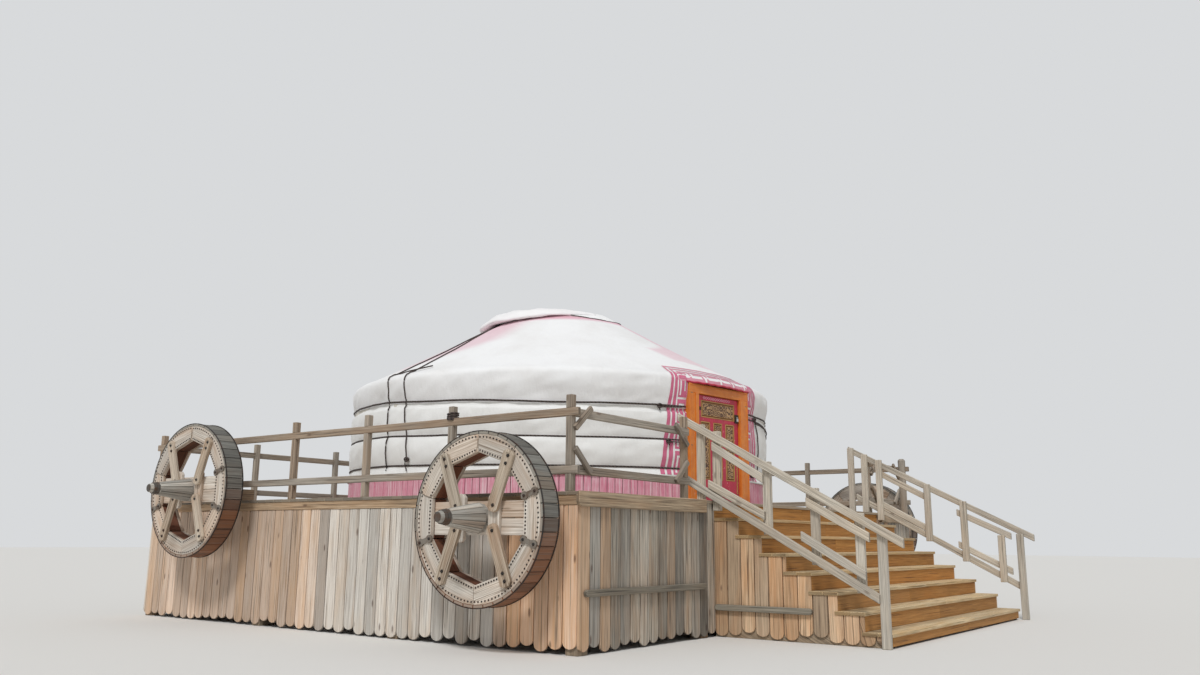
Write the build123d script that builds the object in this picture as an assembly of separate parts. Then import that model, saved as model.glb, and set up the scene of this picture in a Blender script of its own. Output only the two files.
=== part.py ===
from build123d import *
from math import atan2, cos, degrees, hypot, pi, radians, sin, tan
import os

# A felt tent on a timber platform that is dressed as a great cart.
# Millimetres. X runs to the right as seen from the stair, Y to the back, Z up.
# The origin is on the ground, at the middle of the whole outline.

# Platform
deck_width = 8480.0
deck_length = 7000.0
deck_top = 1400.0
deck_board = 32.0
face_setback = 16.0
board_t = 24.0
beam_width = 90.0
beam_height = 90.0
beam_proud = 6.0
joist_width = 70.0
joists_per_bay = 3
leg_size = 140.0
leg_rows = 4
leg_columns = 5
fascia_height = 136.0
fascia_t = 40.0
fascia_past_corner = 50.0
fascia_round = 45.0
fascia_short_of_stair = 220.0
board_width = 160.0
scallop_rise = 70.0
skirt_ground_gap = 20.0
batten_height = 62.0
batten_t = 40.0
batten_cut = 18.0
batten_from_corner = 60.0
batten_left_short = 240.0
batten_right_short = 80.0
stair_batten_treads = 4
front_batten_up = 490.0
side_batten_up = 270.0

# Stair
riser = 180.0
tread_run = 267.0
tread_count = 7
tread_t = 35.0
stair_left = 2377.0
stair_width = 4718.0
stair_side_inset = 12.0
carriage_t = 60.0
carriage_count = 4

# Railings
post_size = 66.0
front_setback = 136.0
post_top = 870.0
rail_depth = 75.0
rail_t = 45.0
top_rail_up = 750.0
low_rail_up = 229.0
rail_past_corner = 70.0
rail_end_gap = 2.0
log_radius = 55.0
log_sides = 12
log_dome = 25.0
log_top_share = 0.6
log_forward = 105.0
log_rail_past = 40.0
post_inset = 30.0
side_post_steps = (1663.0, 2925.0, 4166.0, 5650.0)
left_end_post = 2010.0
brace_run = 240.0
brace_depth = 55.0
brace_t = 35.0
brace_heights = ((560.0, 770.0), (390.0, 175.0))

# Stair rails, heights from the deck and distances from the front edge
stair_post_width = 85.0
stair_post_t = 60.0
stair_rail_depth = 80.0
stair_rail_t = 45.0
post_over_rail = 45.0
post_under_rail = 60.0
foot_post_short = 30.0
edge_post_low = -110.0
fascia_clearance = 10.0

# Wheels
wheel_radius = 770.0
wheel_depth = 220.0
wheel_gap = 230.0
wheel_front_y = 820.0
wheel_back_y = 5450.0
wheel_front_drop = 242.0
wheel_back_rise = 113.0
felloe_count = 10
felloe_t = 40.0
felloe_inner = 0.72
felloe_joint = 4.0
stave_count = 40
stave_t = 28.0
stave_joint = 3.0
lining_t = 22.0
spoke_width = 118.0
spoke_t = 40.0
spoke_foot = (0.29, 0.13)
spoke_reach = 0.86
spoke_angle = 54.0
hub_plank_width = 130.0
hub_plank_t = 40.0
hub_plank_out = 0.27
hub_plank_long = 0.56
bar_height = 145.0
bar_t = 40.0
bar_joint = 6.0
hub_radius = 132.0
hub_tip_radius = 45.0
hub_length = 470.0
hub_sides = 12
hub_ring_t = 8.0
hub_ring_width = 34.0
axle_width = 90.0
axle_height = 150.0
axle_inside = 420.0
axle_hole_gap = 3.0
link_length = 190.0
link_width = 70.0
link_waist = 44.0
link_t = 14.0
link_radius = 655.0
link_angles = (72.0, 108.0, 252.0)

# Tent, many-sided, its radii measured to the middle of a flat
tent_sides = 60
yurt_x = 110.0
yurt_y = 3740.0
door_turn = -8.5
wall_radius = 2955.0
wall_t = 30.0
sectors = 6
roof_slope = 28.5
roof_t = 28.0
hem_drop = 340.0
crown_radius = 740.0
crown_ring_t = 70.0
crown_ring_h = 90.0
crown_cover_radius = 990.0
crown_cover_t = 30.0
crown_cover_sides = 20
crown_cover_rise = 40.0
crown_tip_radius = 60.0
crown_ring_up = 30.0
cross_width = 40.0
cross_count = 4
pole_size = 38.0
crown_post_size = 90.0
base_board_height = 346.0
base_board_t = 18.0
rope_heights = (1215.0, 795.0, 440.0)
rope_width = 26.0
rope_t = 14.0

# Door
frame_width = 1200.0
frame_height = 1488.0
eave_over_frame = 64.0
frame_depth = 170.0
frame_proud = 90.0
jamb = 180.0
lintel = 120.0
threshold_h = 100.0
leaf_gap = 6.0
leaf_t = 40.0
leaf_setback = 30.0
hinge_from_end = 150.0
pin_radius = 6.0
pin_length = 48.0
pin_clearance = 0.08
arm_height = 20.0
eye_radius = 11.0
eye_height = 40.0
eye_gap = 0.5
strap_length = 60.0
strap_t = 5.0
hasp_width = 70.0
hasp_height = 110.0
hasp_t = 12.0
hasp_below_top = 368.0
hasp_from_edge = 4.0
doorway_out = 200.0
doorway_in = 400.0
panel_depth = 8.0
top_panel = (0.09, 0.91, 0.78, 0.95)
low_panels = ((0.08, 0.30), (0.385, 0.595), (0.68, 0.90))
low_panel_span = (0.17, 0.74)

# Places worked out from the sizes above
wall_height = frame_height + eave_over_frame
hasp_up = frame_height - hasp_below_top
stair_rail_reach = 7.85
front_reach = stair_rail_reach * tread_run
back_reach = rail_past_corner - post_inset
front_y = (front_reach - deck_length - back_reach) / 2
side_x = deck_width / 2
back_y = front_y + deck_length
stair_x0 = -side_x + stair_left
stair_x1 = stair_x0 + stair_width
face_x = side_x - face_setback
face_front = front_y + face_setback
face_back = back_y - face_setback
beam_top = deck_top - deck_board
beam_bottom = beam_top - beam_height
leg_x = face_x - board_t - leg_size / 2


def block(x0, x1, y0, y1, z0, z1):
    size = Box(abs(x1 - x0), abs(y1 - y0), abs(z1 - z0))
    return Pos((x0 + x1) / 2, (y0 + y1) / 2, (z0 + z1) / 2) * size


def group(pieces):
    return Compound(children=[p for p in pieces])


def save(shape, name):
    os.makedirs("parts", exist_ok=True)
    if isinstance(shape, (list, tuple)):
        shape = group(shape)
    export_step(shape, "parts/" + name + ".step")


def side_profile(points, x0, x1):
    """A sheet outlined in Y and Z, from x0 to x1."""
    face = make_face(Polyline(*[(0, y, z) for y, z in points], close=True))
    return Pos(x0, 0, 0) * extrude(face, amount=x1 - x0, dir=(1, 0, 0))


def front_profile(points, y0, y1):
    """A sheet outlined in X and Z, from y0 to y1."""
    face = make_face(Polyline(*[(x, 0, z) for x, z in points], close=True))
    return Pos(0, y0, 0) * extrude(face, amount=y1 - y0, dir=(0, 1, 0))


# Deck and its frame
def deck():
    return block(-side_x, side_x, front_y, back_y, beam_top, deck_top)


def deck_frame():
    x_out = face_x + beam_proud
    y_front = face_front + board_t
    y_back = face_back + beam_proud
    outer = block(-x_out, x_out, y_front, y_back, beam_bottom, beam_top)
    inner = block(-x_out + beam_width, x_out - beam_width, y_front + beam_width,
                  y_back - beam_width, beam_bottom - 1, beam_top + 1)
    frame = outer - inner
    bays = (leg_columns - 1) * joists_per_bay
    for i in range(1, bays):
        x = -leg_x + i * 2 * leg_x / bays
        frame += block(x - joist_width / 2, x + joist_width / 2, y_front + beam_width - 5,
                       y_back - beam_width + 5, beam_bottom, beam_top)
    return frame


def legs():
    pieces = []
    y0 = face_front + board_t + leg_size / 2
    y1 = face_back - board_t - leg_size / 2
    for i in range(leg_columns):
        x = -leg_x + i * 2 * leg_x / (leg_columns - 1)
        for j in range(leg_rows):
            y = y0 + j * (y1 - y0) / (leg_rows - 1)
            pieces.append(Pos(x, y, beam_bottom / 2) * Box(leg_size, leg_size, beam_bottom))
    return pieces


# Upright boards round the platform, each with a rounded foot
def board_row(start, end, top):
    count = round((end - start) / board_width)
    pitch = (end - start) / count
    low = skirt_ground_gap
    points = [(start, top)]
    for i in range(count):
        s = start + i * pitch
        points.append((s, low + scallop_rise))
        points.append((s + pitch * 0.25, low))
        points.append((s + pitch * 0.75, low))
    points.append((end, low + scallop_rise))
    points.append((end, top))
    return points


def skirt_side(sign):
    x_out = sign * face_x
    x_in = x_out - sign * board_t
    points = board_row(face_front + board_t, face_back - board_t, beam_bottom)
    sheet = side_profile(points, min(x_in, x_out), max(x_in, x_out))
    for side, y0, y1, z0, z1 in axle_sections():
        if side == sign and z0 < beam_bottom:
            g = axle_hole_gap
            sheet -= block(x_in - 50, x_out + 50, y0 - g, y1 + g, z0 - g, beam_bottom + g)
    return sheet


def skirt_back():
    points = board_row(-face_x, face_x, beam_bottom)
    return front_profile(points, face_back - board_t, face_back)


def skirt_front():
    top = deck_top - deck_board
    left = board_row(-face_x, stair_x0, top)
    right = board_row(stair_x1, face_x, top)
    return [front_profile(p, face_front, face_front + board_t) for p in (left, right)]


def front_fascias():
    """Planks that cover the front edge of the deck, rounded at the outer low corner."""
    z0 = deck_top - fascia_height
    r = fascia_round
    right_start = stair_x1 + stair_post_t + stair_rail_t + fascia_clearance
    far_x = side_x + fascia_past_corner
    spans = ((-far_x, stair_x0 - fascia_short_of_stair, -1), (right_start, far_x, 1))
    pieces = []
    for x0, x1, outer in spans:
        far = x0 if outer < 0 else x1
        near = x1 if outer < 0 else x0
        bend = r * (1 - cos(pi / 4))
        points = [(near, z0), (far - outer * r, z0), (far - outer * bend, z0 + bend), (far, z0 + r),
                  (far, deck_top), (near, deck_top)]
        plank = front_profile(points, face_front - fascia_t, face_front)
        pieces.append(plank - block(x0 - 1, x1 + 1, front_y, face_front + 1, beam_top, deck_top + 1))
    return pieces


def batten_outline(a, b, low):
    high = low + batten_height
    c = batten_cut
    return [(a, low + c), (a + c, low), (b - c, low), (b, low + c), (b, high - c), (b - c, high),
            (a + c, high), (a, high - c)]


def battens():
    y_out = face_front - batten_t
    side_y = front_y - stair_batten_treads * tread_run
    end_x = face_x - batten_from_corner
    spans = ((-end_x, stair_x0 - batten_left_short), (stair_x1 + batten_right_short, end_x))
    pieces = [front_profile(batten_outline(a, b, front_batten_up), y_out, face_front) for a, b in spans]
    x0 = stair_x0 + stair_side_inset
    x1 = stair_x1 - stair_side_inset
    outline = batten_outline(side_y, face_front, side_batten_up)
    pieces.append(side_profile(outline, x0 - batten_t, x0))
    pieces.append(side_profile(outline, x1, x1 + batten_t))
    return pieces


# Stair
def nosing_y(k):
    return front_y - k * tread_run


def tread_z(k):
    return deck_top - k * riser


def treads():
    pieces = []
    for k in range(1, tread_count + 1):
        back = nosing_y(k - 1) + face_setback + board_t
        pieces.append(block(stair_x0, stair_x1, nosing_y(k), back, tread_z(k) - tread_t, tread_z(k)))
    return pieces


def risers():
    pieces = []
    for k in range(tread_count + 1):
        inset = stair_side_inset + board_t if k > 0 else 0.0
        x0 = stair_x0 + inset
        x1 = stair_x1 - inset
        top = tread_z(k) - (deck_board if k == 0 else tread_t)
        low = tread_z(k + 1) if k < tread_count else skirt_ground_gap
        face = nosing_y(k) + face_setback
        pieces.append(block(x0, x1, face, face + board_t, low, top))
    return pieces


def stair_line(setback, low):
    """The saw-toothed line under the treads, from the bottom step up to the deck."""
    points = [(nosing_y(tread_count) + setback, low)]
    for k in range(tread_count, 0, -1):
        back = nosing_y(k - 1) + face_setback + board_t
        points.append((nosing_y(k) + setback, tread_z(k) - tread_t))
        points.append((back, tread_z(k) - tread_t))
        if setback < face_setback + board_t:
            points.append((back, tread_z(k)))
            points.append((nosing_y(k - 1) + setback, tread_z(k)))
    return points


def carriages():
    behind = face_setback + board_t
    points = stair_line(behind, 0.0)
    back = face_front + board_t
    points = points[:-1] + [(back, tread_z(1) - tread_t), (back, 0.0)]
    x0 = stair_x0 + stair_side_inset + board_t
    x1 = stair_x1 - stair_side_inset - board_t - carriage_t
    pieces = []
    for i in range(carriage_count):
        x = x0 + i * (x1 - x0) / (carriage_count - 1)
        pieces.append(side_profile(points, x, x + carriage_t))
    return pieces


def stair_sides():
    points = stair_line(face_setback, skirt_ground_gap)[:-2]
    points.append((points[-1][0], skirt_ground_gap))
    pieces = []
    for x in (stair_x0 + stair_side_inset, stair_x1 - stair_side_inset - board_t):
        pieces.append(side_profile(points, x, x + board_t))
    return pieces


# Railings on the deck
def post_places():
    """Centres of the railing posts, as lists by side."""
    x_edge = side_x - post_inset - post_size / 2
    y_edge = front_y + front_setback + post_size / 2
    y_last = back_y - post_inset - post_size / 2
    sides = [y_edge] + [front_y + s for s in side_post_steps] + [y_last]
    back_count = 6
    back = [-x_edge + i * 2 * x_edge / back_count for i in range(1, back_count)]
    places = [(sx * x_edge, y) for sx in (-1, 1) for y in sides]
    places += [(x, y_last) for x in back]
    places.append((-side_x + left_end_post, y_edge))
    places.append((right_end_post_x(), y_edge))
    return places


def right_end_post_x():
    """The post beside the right stair rail, clear of it."""
    return stair_x1 + stair_post_t + stair_rail_t + rail_end_gap + post_size / 2


def rail_blocks(gap):
    """The rails on the deck, flush with the outer faces of their posts."""
    x_out = side_x - post_inset
    x_in = x_out - rail_t
    y0 = front_y + front_setback
    y1 = back_y - post_inset
    rails = []
    for up in (top_rail_up, low_rail_up):
        z1 = deck_top + up
        z0 = z1 - rail_depth
        for sign, start in ((-1, y0 - rail_past_corner), (1, front_y - log_rail_past)):
            rails.append(block(sign * x_in, sign * x_out, start, y1 + rail_past_corner, z0, z1))
        end = x_in - gap
        rails.append(block(-end, end, y1 - rail_t, y1, z0, z1))
        left_end = -side_x + left_end_post + post_size
        right_end = right_end_post_x() - post_size / 2
        rails.append(block(-end, left_end, y0, y0 + rail_t, z0, z1))
        rails.append(block(right_end, end, y0, y0 + rail_t, z0, z1))
    return rails


def railing_rails():
    return rail_blocks(rail_end_gap)


def corner_log(x, y):
    round_top = post_top - log_dome
    log = extrude(RegularPolygon(log_radius, log_sides, major_radius=False), amount=round_top)
    log += frustum(log_radius, round_top, log_radius * log_top_share, post_top, log_sides)
    return Pos(x, y, deck_top) * log


def railing_posts():
    """Posts notched for the rails and braces; the one at the right of the front is a round log."""
    pieces = []
    x_edge = side_x - post_inset - post_size / 2
    y_edge = front_y + front_setback + post_size / 2
    notches = rail_blocks(0.0) + rail_braces()
    for x, y in post_places():
        top = top_rail_up if x == right_end_post_x() else post_top
        if x == x_edge and y == y_edge:
            post = corner_log(x, y - log_forward)
        else:
            post = Pos(x, y, deck_top + top / 2) * Box(post_size, post_size, top)
        for notch in notches:
            box = notch.bounding_box()
            near_x = box.min.X < x + post_size and box.max.X > x - post_size
            near_y = box.min.Y < y + post_size and box.max.Y > y - post_size
            if near_x and near_y:
                post -= notch
        pieces.append(post)
    return pieces


def rail_braces():
    """Slanting braces on the front panels, from each end post to the rails."""
    y1 = front_y + front_setback
    left = -side_x + post_inset + post_size / 2
    right = side_x - post_inset - post_size / 2
    starts = ((left, 1), (-side_x + left_end_post, -1), (right_end_post_x(), 1), (right, -1))
    pieces = []
    for x, way in starts:
        for at_post, at_rail in brace_heights:
            dx = way * brace_run
            dz = at_rail - at_post
            long = hypot(dx, dz)
            side = (-dz / long * brace_depth / 2, dx / long * brace_depth / 2)
            a = (x, deck_top + at_post)
            b = (x + dx, deck_top + at_rail)
            points = [(a[0] + side[0], a[1] + side[1]), (b[0] + side[0], b[1] + side[1]),
                      (b[0] - side[0], b[1] - side[1]), (a[0] - side[0], a[1] - side[1])]
            pieces.append(front_profile(points, y1 - brace_t, y1))
    return pieces


# Stair rails. A place on one is a pair: steps in front of the deck's edge, and height above the nosings
left_rail = dict(
    top=((-1.54, 639), (7.65, 943)),
    low=((-1.24, 18), (6.70, 262)),
    short=(((0.05, 585), (2.28, 621)), ((4.04, 694), (6.42, 776)),
           ((-0.12, 150), (2.33, 253)), ((3.80, 319), (6.24, 385))),
    hanging=((2.36, 45), (4.30, 45), (6.00, 45)),
    on_deck=(-0.58,),
    foot=6.81,
)
right_rail = dict(
    top=((-1.62, 647), (stair_rail_reach, 1062)),
    low=((-1.225, 16.5), (7.05, 293)),
    short=(((0.28, 598), (2.69, 683)), ((4.16, 746), (6.76, 887)),
           ((0.165, 160), (2.66, 244)), ((4.15, 306), (6.73, 421))),
    hanging=((2.73, 45), (4.55, 45), (6.33, -170)),
    on_deck=(-1.42, -0.65),
    foot=7.22,
)


def rail_height(ends, steps):
    """Height of a stair rail's middle above the ground."""
    (s0, h0), (s1, h1) = ends
    over = h0 + (h1 - h0) * (steps - s0) / (s1 - s0)
    return deck_top - steps * riser + over


def stair_rail_x(side):
    """Middle of a stair rail's posts, outside the ends of the treads."""
    if side < 0:
        return stair_x0 - stair_post_t / 2
    return stair_x1 + stair_post_t / 2


def stair_posts():
    half_t = stair_post_t / 2
    half_w = stair_post_width / 2
    pieces = []
    for side, rail in ((-1, left_rail), (1, right_rail)):
        x = stair_rail_x(side)
        top = rail["top"]
        low = rail["low"]
        spans = [(front_y - s * tread_run, rail_height(low, s) - post_under_rail, rail_height(top, s) + above)
                 for s, above in rail["hanging"]]
        spans += [(front_y - s * tread_run, deck_top, rail_height(top, s) + post_over_rail)
                  for s in rail["on_deck"]]
        spans.append((front_y - half_w, deck_top + edge_post_low, rail_height(top, 0) + post_over_rail))
        foot = rail["foot"]
        spans.append((front_y - foot * tread_run, 0.0, rail_height(top, foot) - foot_post_short))
        for y, z0, z1 in spans:
            pieces.append(block(x - half_t, x + half_t, y - half_w, y + half_w, z0, z1))
    return pieces


def sloping_rail(x0, x1, ends):
    """A rail between two places, its ends cut upright."""
    corners = [(front_y - s * tread_run, rail_height(ends, s)) for s, over in ends]
    (ya, za), (yb, zb) = corners
    half = stair_rail_depth / 2 * hypot(yb - ya, zb - za) / abs(yb - ya)
    points = [(ya, za + half), (yb, zb + half), (yb, zb - half), (ya, za - half)]
    return side_profile(points, x0, x1)


def stair_rails():
    pieces = []
    for side, rail in ((-1, left_rail), (1, right_rail)):
        x = stair_rail_x(side) + side * stair_post_t / 2
        x0, x1 = sorted((x, x + side * stair_rail_t))
        for ends in (rail["top"], rail["low"]) + rail["short"]:
            pieces.append(sloping_rail(x0, x1, ends))
    return pieces


def frustum(r0, z0, r1, z1, sides):
    """A many-sided tapered block about Z, with flat faces; the radii are to the middle of a flat."""
    rings = []
    for r, z in ((r0, z0), (r1, z1)):
        corner = r / cos(pi / sides)
        turns = [2 * pi * i / sides for i in range(sides)]
        rings.append([(corner * cos(a), corner * sin(a), z) for a in turns])
    low, high = rings
    faces = [Face(Wire.make_polygon(ring)) for ring in rings]
    for i in range(sides):
        j = (i + 1) % sides
        faces.append(Face(Wire.make_polygon([low[i], low[j], high[j], high[i]])))
    return Solid(Shell(faces))


# Wheels, each built round its own axis with +X outwards
def wheel_places():
    places = []
    for side in (-1, 1):
        places.append((side, front_y + wheel_front_y, deck_top - wheel_front_drop))
        places.append((side, front_y + wheel_back_y, deck_top + wheel_back_rise))
    return places


def on_wheels(piece):
    """The same piece on all four wheels. X 0 is the wheel's back face."""
    copies = []
    for side, y, z in wheel_places():
        x = side * (side_x + wheel_gap)
        turned = piece if side > 0 else mirror(piece, about=Plane.YZ)
        copies.append(Pos(x, y, z) * turned)
    return copies


def rim_radius():
    return wheel_radius - stave_t


def stave_half_angle():
    return pi / stave_count


def felloe():
    """One plank of a ring: straight inside, with a flat outside for each stave."""
    half = pi / felloe_count
    flat = felloe_inner * wheel_radius
    cut = felloe_joint / 2
    corner = rim_radius() / cos(stave_half_angle())
    y_in = flat * tan(half) - cut
    per_plank = stave_count // felloe_count
    turns = [-half + i * 2 * half / per_plank for i in range(per_plank + 1)]
    outer = [(corner * sin(a), corner * cos(a)) for a in turns]
    (ya, za), (yb, zb) = outer[0], outer[1]
    part = cut / hypot(yb - ya, zb - za)
    first = (ya + (yb - ya) * part, za + (zb - za) * part)
    outer[0] = first
    outer[-1] = (-first[0], first[1])
    return side_profile([(y_in, flat), (-y_in, flat)] + outer, 0, felloe_t)


def wheel_felloes():
    plank = felloe()
    pieces = []
    for i in range(felloe_count):
        turned = Rot(360.0 / felloe_count * i + 18, 0, 0) * plank
        pieces += on_wheels(turned)
        pieces += on_wheels(Pos(wheel_depth - felloe_t, 0, 0) * turned)
    return pieces


def wheel_linings():
    flat = felloe_inner * wheel_radius
    half = pi / felloe_count
    y_in = flat * tan(half) - felloe_joint
    board = block(felloe_t, wheel_depth - felloe_t, -y_in, y_in, flat, flat + lining_t)
    pieces = []
    for i in range(felloe_count):
        pieces += on_wheels(Rot(360.0 / felloe_count * i + 18, 0, 0) * board)
    return pieces


def wheel_treads():
    half = stave_half_angle()
    r = rim_radius()
    y_out = r * tan(half) - stave_joint / 2
    stave = block(0, wheel_depth, -y_out, y_out, r, r + stave_t)
    pieces = []
    for i in range(stave_count):
        pieces += on_wheels(Rot(360.0 / stave_count * (i + 0.5), 0, 0) * stave)
    return pieces


def strip(width, length, thick):
    """A flat bar with cut corners, along Z from 0, its back face on X 0."""
    c = width * 0.25
    w = width / 2
    points = [(-w, c), (-w + c, 0), (w - c, 0), (w, c), (w, length - c), (w - c, length),
              (-w + c, length), (-w, length - c)]
    return side_profile(points, 0, thick)


def wheel_spokes():
    pieces = []
    for ty, tz in ((-1, 1), (1, 1), (-1, -1), (1, -1)):
        y0 = ty * spoke_foot[0] * wheel_radius
        z0 = tz * spoke_foot[1] * wheel_radius
        a = radians(spoke_angle)
        y1 = ty * spoke_reach * wheel_radius * cos(a)
        z1 = tz * spoke_reach * wheel_radius * sin(a)
        length = hypot(y1 - y0, z1 - z0) + spoke_width * 0.8
        turn = degrees(atan2(-(y1 - y0), z1 - z0))
        bar = Pos(0, 0, -spoke_width * 0.4) * strip(spoke_width, length, spoke_t)
        placed = Pos(wheel_depth, y0, z0) * Rot(turn, 0, 0) * bar
        pieces += on_wheels(placed)
    return pieces


def wheel_hub_planks():
    pieces = []
    for sy in (-1, 1):
        y = sy * hub_plank_out * wheel_radius
        long = hub_plank_long * wheel_radius
        plank = Pos(wheel_depth - hub_plank_t, y, -long / 2) * strip(hub_plank_width, long, hub_plank_t)
        pieces += on_wheels(plank)
    return pieces


def wheel_bars():
    x1 = wheel_depth - hub_plank_t
    x0 = x1 - bar_t
    half = felloe_inner * wheel_radius
    pieces = []
    for sz in (-1, 1):
        z = sz * (bar_height / 2 + bar_joint / 2)
        bar = block(x0, x1, -half, half, z - bar_height / 2, z + bar_height / 2)
        pieces += on_wheels(bar)
    return pieces


def hub_cone(extra):
    cone = frustum(hub_radius + extra, 0, hub_tip_radius + extra, hub_length + hub_plank_t, hub_sides)
    return Pos(wheel_depth - hub_plank_t, 0, 0) * Rot(0, 90, 0) * cone


def wheel_hubs():
    return on_wheels(hub_cone(0.0))


def hub_rings():
    """An iron hoop near the small end of each hub."""
    x1 = wheel_depth + hub_length - 2 * hub_ring_width
    x0 = x1 - hub_ring_width
    r = hub_radius
    hoop = (hub_cone(hub_ring_t) & block(x0, x1, -r, r, -r, r)) - hub_cone(0.0)
    return on_wheels(hoop)


def wheel_links():
    """Iron plates with two round lobes, across joints of the front ring."""
    w = link_width / 2
    s = link_waist / 2
    c = w * 0.45
    end = link_length / 2
    quarter = [(c, end), (w, end - w * 0.6), (w, end - w * 1.4), (s, end - w * 2)]
    right = quarter + [(y, -z) for y, z in reversed(quarter)]
    points = right + [(-y, z) for y, z in reversed(right)]
    plate = Pos(wheel_depth, 0, link_radius) * side_profile(points, 0, link_t)
    pieces = []
    for angle in link_angles:
        pieces += on_wheels(Rot(angle, 0, 0) * plate)
    return pieces


def axle_sections():
    """The front axles hang under the edge beams and the back ones lie on the deck."""
    sections = []
    for side, y, z in wheel_places():
        z0 = deck_top if z > deck_top else beam_bottom - axle_height
        sections.append((side, y - axle_width / 2, y + axle_width / 2, z0, z0 + axle_height))
    return sections


def axles():
    x_in = side_x - axle_inside
    x_out = side_x + wheel_gap + wheel_depth - hub_plank_t - bar_t
    return [block(side * x_in, side * x_out, y0, y1, z0, z1) for side, y0, y1, z0, z1 in axle_sections()]


# Tent, built round its own axis with the door towards -Y, then turned and moved
def in_yurt(shape):
    return Pos(yurt_x, front_y + yurt_y, deck_top) * Rot(0, 0, door_turn) * shape


def disc(r, z, sides=tent_sides):
    return Pos(0, 0, z) * RegularPolygon(r, sides, major_radius=False)


def drum(r, z0, z1):
    return extrude(disc(r, z0), amount=z1 - z0)


def upright_ring(r_in, r_out, z0, z1):
    return drum(r_out, z0, z1) - drum(r_in, z0 - 1, z1 + 1)


def wedge(i):
    """One sixth of the tent's plan; the first lies to the left of the door."""
    sweep = 360.0 / sectors
    far = 2 * wall_radius
    start = radians(-90 - sweep / 2 + i * sweep)
    turns = (start, start + radians(sweep / 2), start + radians(sweep))
    corners = [(0, 0)] + [(far * cos(a), far * sin(a)) for a in turns]
    face = make_face(Polyline(*corners, close=True))
    return Pos(0, 0, -far) * extrude(face, amount=2 * far)


def half_turned(shape):
    return Rot(0, 0, 180.0 / sectors) * shape


def roof_z(r):
    return wall_height + (wall_radius - r) * tan(radians(roof_slope))


def roof_lip():
    """Upright thickness of the roof cover."""
    return roof_t / cos(radians(roof_slope))


wall_names = ("wall_front_right", "wall_right", "wall_back_right", "wall_back_left", "wall_left",
              "wall_front_left")


def doorway(height):
    w = frame_width / 2
    return block(-w, w, -wall_radius - doorway_out, -wall_radius + doorway_in, -1, height)


def wall_covers():
    wall = upright_ring(wall_radius - wall_t, wall_radius, 0, wall_height) - doorway(wall_height + 1)
    for i, name in enumerate(wall_names):
        save(in_yurt(wall & half_turned(wedge(i))), name)


def roof_covers():
    r_out = wall_radius + roof_t
    z_low = wall_height - hem_drop
    z_eave = roof_z(r_out) + roof_lip()
    z_top = roof_z(crown_radius)
    outer = drum(r_out, z_low, z_eave) + frustum(r_out, z_eave, crown_radius, z_top + roof_lip(), tent_sides)
    inner = drum(wall_radius, z_low - 1, wall_height)
    inner += frustum(wall_radius, wall_height, crown_radius, z_top, tent_sides)
    cover = outer - inner - drum(crown_radius, z_low, z_top + 2 * roof_t) - doorway(frame_height)
    for i in range(sectors):
        save(in_yurt(cover & wedge(i)), "roof_cover_" + str(i + 1))


def crown_cover():
    """A low lid whose skirt lies on the roof cover."""
    sides = crown_cover_sides
    t = crown_cover_t
    r = crown_cover_radius
    z0 = roof_z(r) + roof_lip()
    z1 = roof_z(crown_radius) + roof_lip()
    z2 = z1 + crown_cover_rise
    upper = extrude(disc(r, z0, sides), amount=t)
    upper += frustum(r, z0 + t, crown_radius, z1 + t, sides)
    upper += frustum(crown_radius, z1 + t, crown_tip_radius, z2 + t, sides)
    lower = frustum(r, z0, crown_radius, z1, sides) + frustum(crown_radius, z1, crown_tip_radius, z2, sides)
    return upper - lower


def crown_ring_span():
    z1 = roof_z(crown_radius) + crown_ring_up
    return z1 - crown_ring_h, z1


def crown_ring():
    z0, z1 = crown_ring_span()
    r1 = crown_radius - 4
    r0 = r1 - crown_ring_t
    ring = upright_ring(r0, r1, z0, z1)
    half = cross_width / 2
    for i in range(cross_count):
        ring += Rot(0, 0, 180.0 / cross_count * i) * block(-r0 - 5, r0 + 5, -half, half, z0 + 15, z1 - 15)
    return ring


def crown_posts():
    top = crown_ring_span()[0]
    r = crown_radius - 4 - crown_ring_t / 2
    half = crown_post_size / 2
    return [block(s * r - half, s * r + half, -half, half, 0, top) for s in (-1, 1)]


def roof_poles():
    """A pole under the middle of every flat of the roof, from the wall to the crown ring."""
    r0 = crown_radius - 4
    r1 = wall_radius - wall_t
    drop = pole_size / cos(radians(roof_slope))
    top = [(r0, roof_z(r0)), (r1, roof_z(r1)), (r1, roof_z(r1) - drop), (r0, roof_z(r0) - drop)]
    face = make_face(Polyline(*[(r, -pole_size / 2, z) for r, z in top], close=True))
    pole = extrude(face, amount=pole_size, dir=(0, 1, 0))
    return [in_yurt(Rot(0, 0, 360.0 / tent_sides * (i + 0.5)) * pole) for i in range(tent_sides)]


def base_boards():
    ring = upright_ring(wall_radius, wall_radius + base_board_t, 0, base_board_height) - doorway(frame_height)
    return [in_yurt(ring & half_turned(wedge(i))) for i in range(sectors)]


def girth_ropes():
    pieces = []
    for z in rope_heights:
        r0 = wall_radius + (roof_t if z > wall_height - hem_drop else 0)
        rope = upright_ring(r0, r0 + rope_t, z - rope_width / 2, z + rope_width / 2)
        pieces.append(in_yurt(rope - doorway(frame_height)))
    return pieces


# Door, in the tent's own directions
door_y = -(wall_radius ** 2 - (frame_width / 2) ** 2) ** 0.5
frame_y0 = door_y - frame_proud
frame_y1 = frame_y0 + frame_depth


def door_jambs():
    w = frame_width / 2
    top = frame_height - lintel
    return [block(s * w, s * (w - jamb), frame_y0, frame_y1, 0, top) for s in (-1, 1)]


def door_lintel():
    w = frame_width / 2
    return block(-w, w, frame_y0, frame_y1, frame_height - lintel, frame_height)


def threshold():
    w = frame_width / 2 - jamb
    return block(-w, w, frame_y0, frame_y1, 0, threshold_h)


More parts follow.
